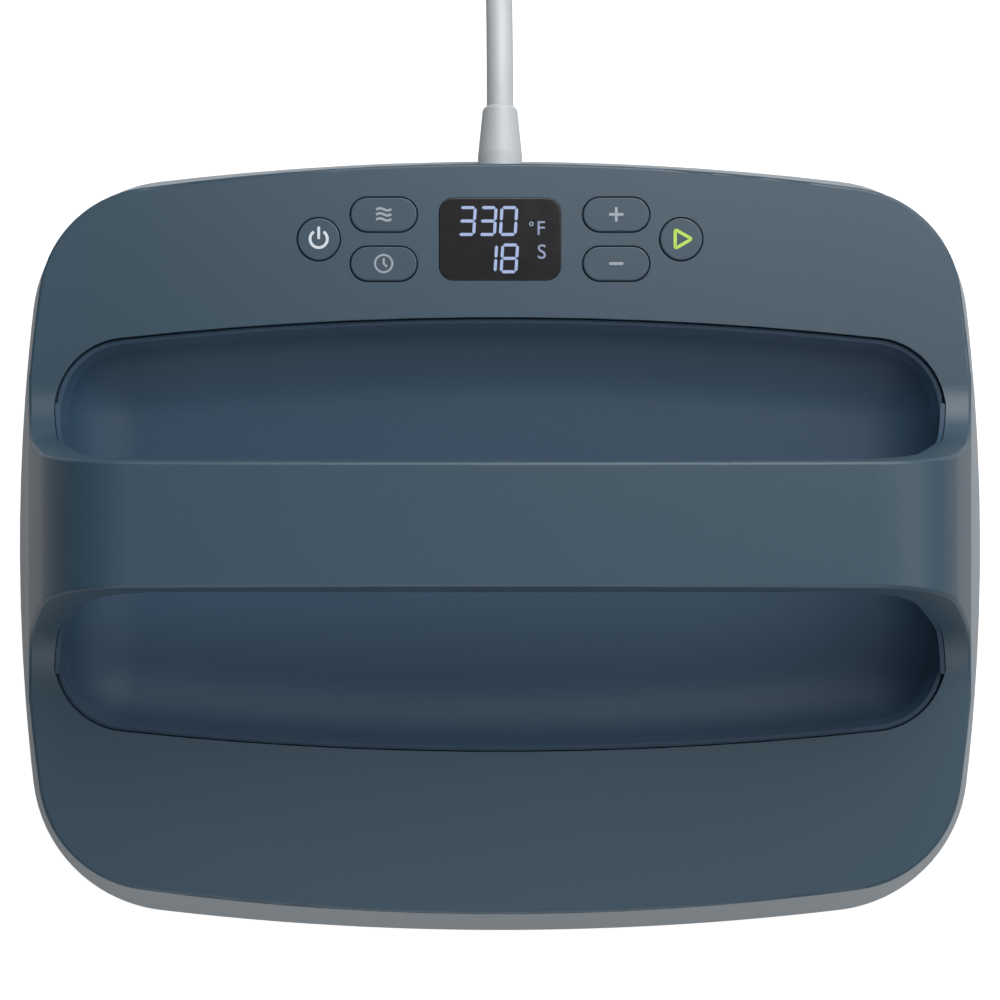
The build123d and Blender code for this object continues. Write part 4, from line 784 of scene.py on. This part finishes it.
def waveMarks():
    # three waves above each other, each rising first
    v = markValues["temperature"]
    cx, cy = v["centre"]
    made = []
    for row in (-1, 0, 1):
        points = []
        for step in range(v["points"]):
            part = step / (v["points"] - 1) - 0.5
            sway = -v["sway"] * math.sin(2 * math.pi * part * v["periods"])
            points.append((cx + part * v["length"], cy + row * v["step"] + sway))
        made.append(stripMark(points, v["stroke"]))
    return made


def clockMark():
    # the two hands are one bent strip
    v = markValues["timer"]
    cx, cy = v["centre"]
    tall, short = v["hands"]
    slant = short * math.sqrt(0.5)
    hands = stripMark([(cx, cy + tall), (cx, cy), (cx + slant, cy - slant)], v["handStroke"])
    return [ringMark((cx, cy), v["radius"], v["stroke"]), hands]


def plusMark():
    # a small square whose four sides are drawn out into arms
    v = markValues["plus"]
    deselectAll()
    centre = Vector((*v["centre"], 0)) * mm
    bpy.ops.mesh.primitive_plane_add(size=v["stroke"] * mm, location=centre)
    cross = applyPlace(bpy.context.object)
    reach = (v["length"] - v["stroke"]) / 2 * mm
    for x, y in ((1, 0), (-1, 0), (0, 1), (0, -1)):
        side = centre + Vector((x, y, 0)) * v["stroke"] / 2 * mm
        selectEdges(cross, lambda a, b: ((a + b) / 2 - side).length < nearEnough)
        bpy.ops.mesh.extrude_edges_move(TRANSFORM_OT_translate={"value": (x * reach, y * reach, 0)})
        bpy.ops.object.mode_set(mode="OBJECT")
    return [cross]


def playMark():
    # outlined triangle with soft corners, pointing right
    v = markValues["start"]
    deselectAll()
    bpy.ops.mesh.primitive_circle_add(
        vertices=3, radius=v["radius"] * mm, fill_type="NGON", location=(0, 0, 0)
    )
    outline = bpy.context.object
    outline.rotation_euler = (0, 0, math.radians(-90))
    outline.location = (v["centre"][0] * mm, v["centre"][1] * mm, 0)
    applyPlace(outline)
    bpy.ops.object.mode_set(mode="EDIT")
    bpy.ops.mesh.select_mode(type="VERT")
    bpy.ops.mesh.select_all(action="SELECT")
    bpy.ops.mesh.bevel(offset=v["rounding"] * mm, segments=8, affect="VERTICES")
    bpy.ops.mesh.select_mode(type="FACE")
    bpy.ops.mesh.select_all(action="SELECT")
    bpy.ops.mesh.inset(thickness=v["stroke"] * mm)
    bpy.ops.mesh.delete(type="FACE")
    bpy.ops.object.mode_set(mode="OBJECT")
    return [outline]


onKey(powerMark(), "power", whiteInk)
onKey(waveMarks(), "temperature", greyInk)
onKey(clockMark(), "timer", greyInk)
onKey(plusMark(), "plus", greyInk)
minus = markValues["minus"]
onKey([barMark(minus["centre"], minus["length"], markValues["stroke"])], "minus", greyInk)
onKey(playMark(), "start", limeInk)
print("keys marked")

# floor, lamps and surroundings
stageValues = {
    "floorSize": 8.0,
    # just under the plate, so that the two faces don't lie in one plane
    "floorDrop": 0.0001,
    "floor": "#8A8C8F",
    # how bright the camera sees the floor, and the share of it that a glossy face mirrors
    "floorGlow": 0.9,
    "floorMirrored": 0.28,
    "world": "#F4F7FA",
    "worldStrength": 0.06,
    # place, aimed at, size, power
    "lamps": {
        "rearWindow": ((0.6, 1.45, 1.45), (0, 0, 0.05), 2.0, 54.0),
        "rearNear": ((0.1, 0.75, 0.85), (0, 0.1, 0.05), 0.5, 2.5),
        "frontLow": ((0, -1.95, 0.95), (0, 0, 0.05), 1.6, 19.0),
        "frontSoft": ((0, -0.9, 2.0), (0, 0, 0.05), 1.6, 8.0),
        "rightSide": ((1.75, 0.15, 1.15), (0, 0, 0.05), 1.2, 9.0),
    },
}


def mathNode(tree, operation, first, second):
    return addNode(tree, "ShaderNodeMath", {0: first, 1: second}, operation=operation).outputs[0]


def seenDirectly(tree, rays):
    # 1 for what the camera sees straight on or through something clear, else 0
    return mathNode(tree, "MAXIMUM", rays["Is Camera Ray"], rays["Is Transmission Ray"])


deselectAll()
bpy.ops.mesh.primitive_plane_add(
    size=stageValues["floorSize"], location=(0, 0, -stageValues["floorDrop"])
)
floor = bpy.context.object
floor.name = "floor"
floorPaint, tree, shader = newMaterial("paleFloor")
rays = addNode(tree, "ShaderNodeLightPath", {}).outputs
mirrored = mathNode(tree, "MULTIPLY", rays["Is Glossy Ray"], stageValues["floorMirrored"])
seen = mathNode(tree, "MAXIMUM", seenDirectly(tree, rays), mirrored)
setSockets(tree, shader, {
    "Base Color": hexColour(stageValues["floor"]),
    "Roughness": 0.9,
    "Emission Color": (1, 1, 1, 1),
    "Emission Strength": mathNode(tree, "MULTIPLY", seen, stageValues["floorGlow"]),
})
floor.data.materials.append(floorPaint)

world = bpy.data.worlds.new("studio")
scene.world = world
world.use_nodes = True
tree = world.node_tree
rays = addNode(tree, "ShaderNodeLightPath", {}).outputs
strength = {
    "Value": seenDirectly(tree, rays),
    "To Min": stageValues["worldStrength"],
    "To Max": 1.0,
}
setSockets(tree, tree.nodes["Background"], {
    "Color": hexColour(stageValues["world"]),
    "Strength": addNode(tree, "ShaderNodeMapRange", strength).outputs["Result"],
})

for name, (place, target, size, power) in stageValues["lamps"].items():
    lampData = bpy.data.lights.new(name, "AREA")
    lampData.size = size
    lampData.energy = power
    lamp = bpy.data.objects.new(name, lampData)
    lamp.location = place
    aim = Vector(target) - Vector(place)
    lamp.rotation_euler = aim.to_track_quat("-Z", "Y").to_euler()
    scene.collection.objects.link(lamp)
print("stage lit")
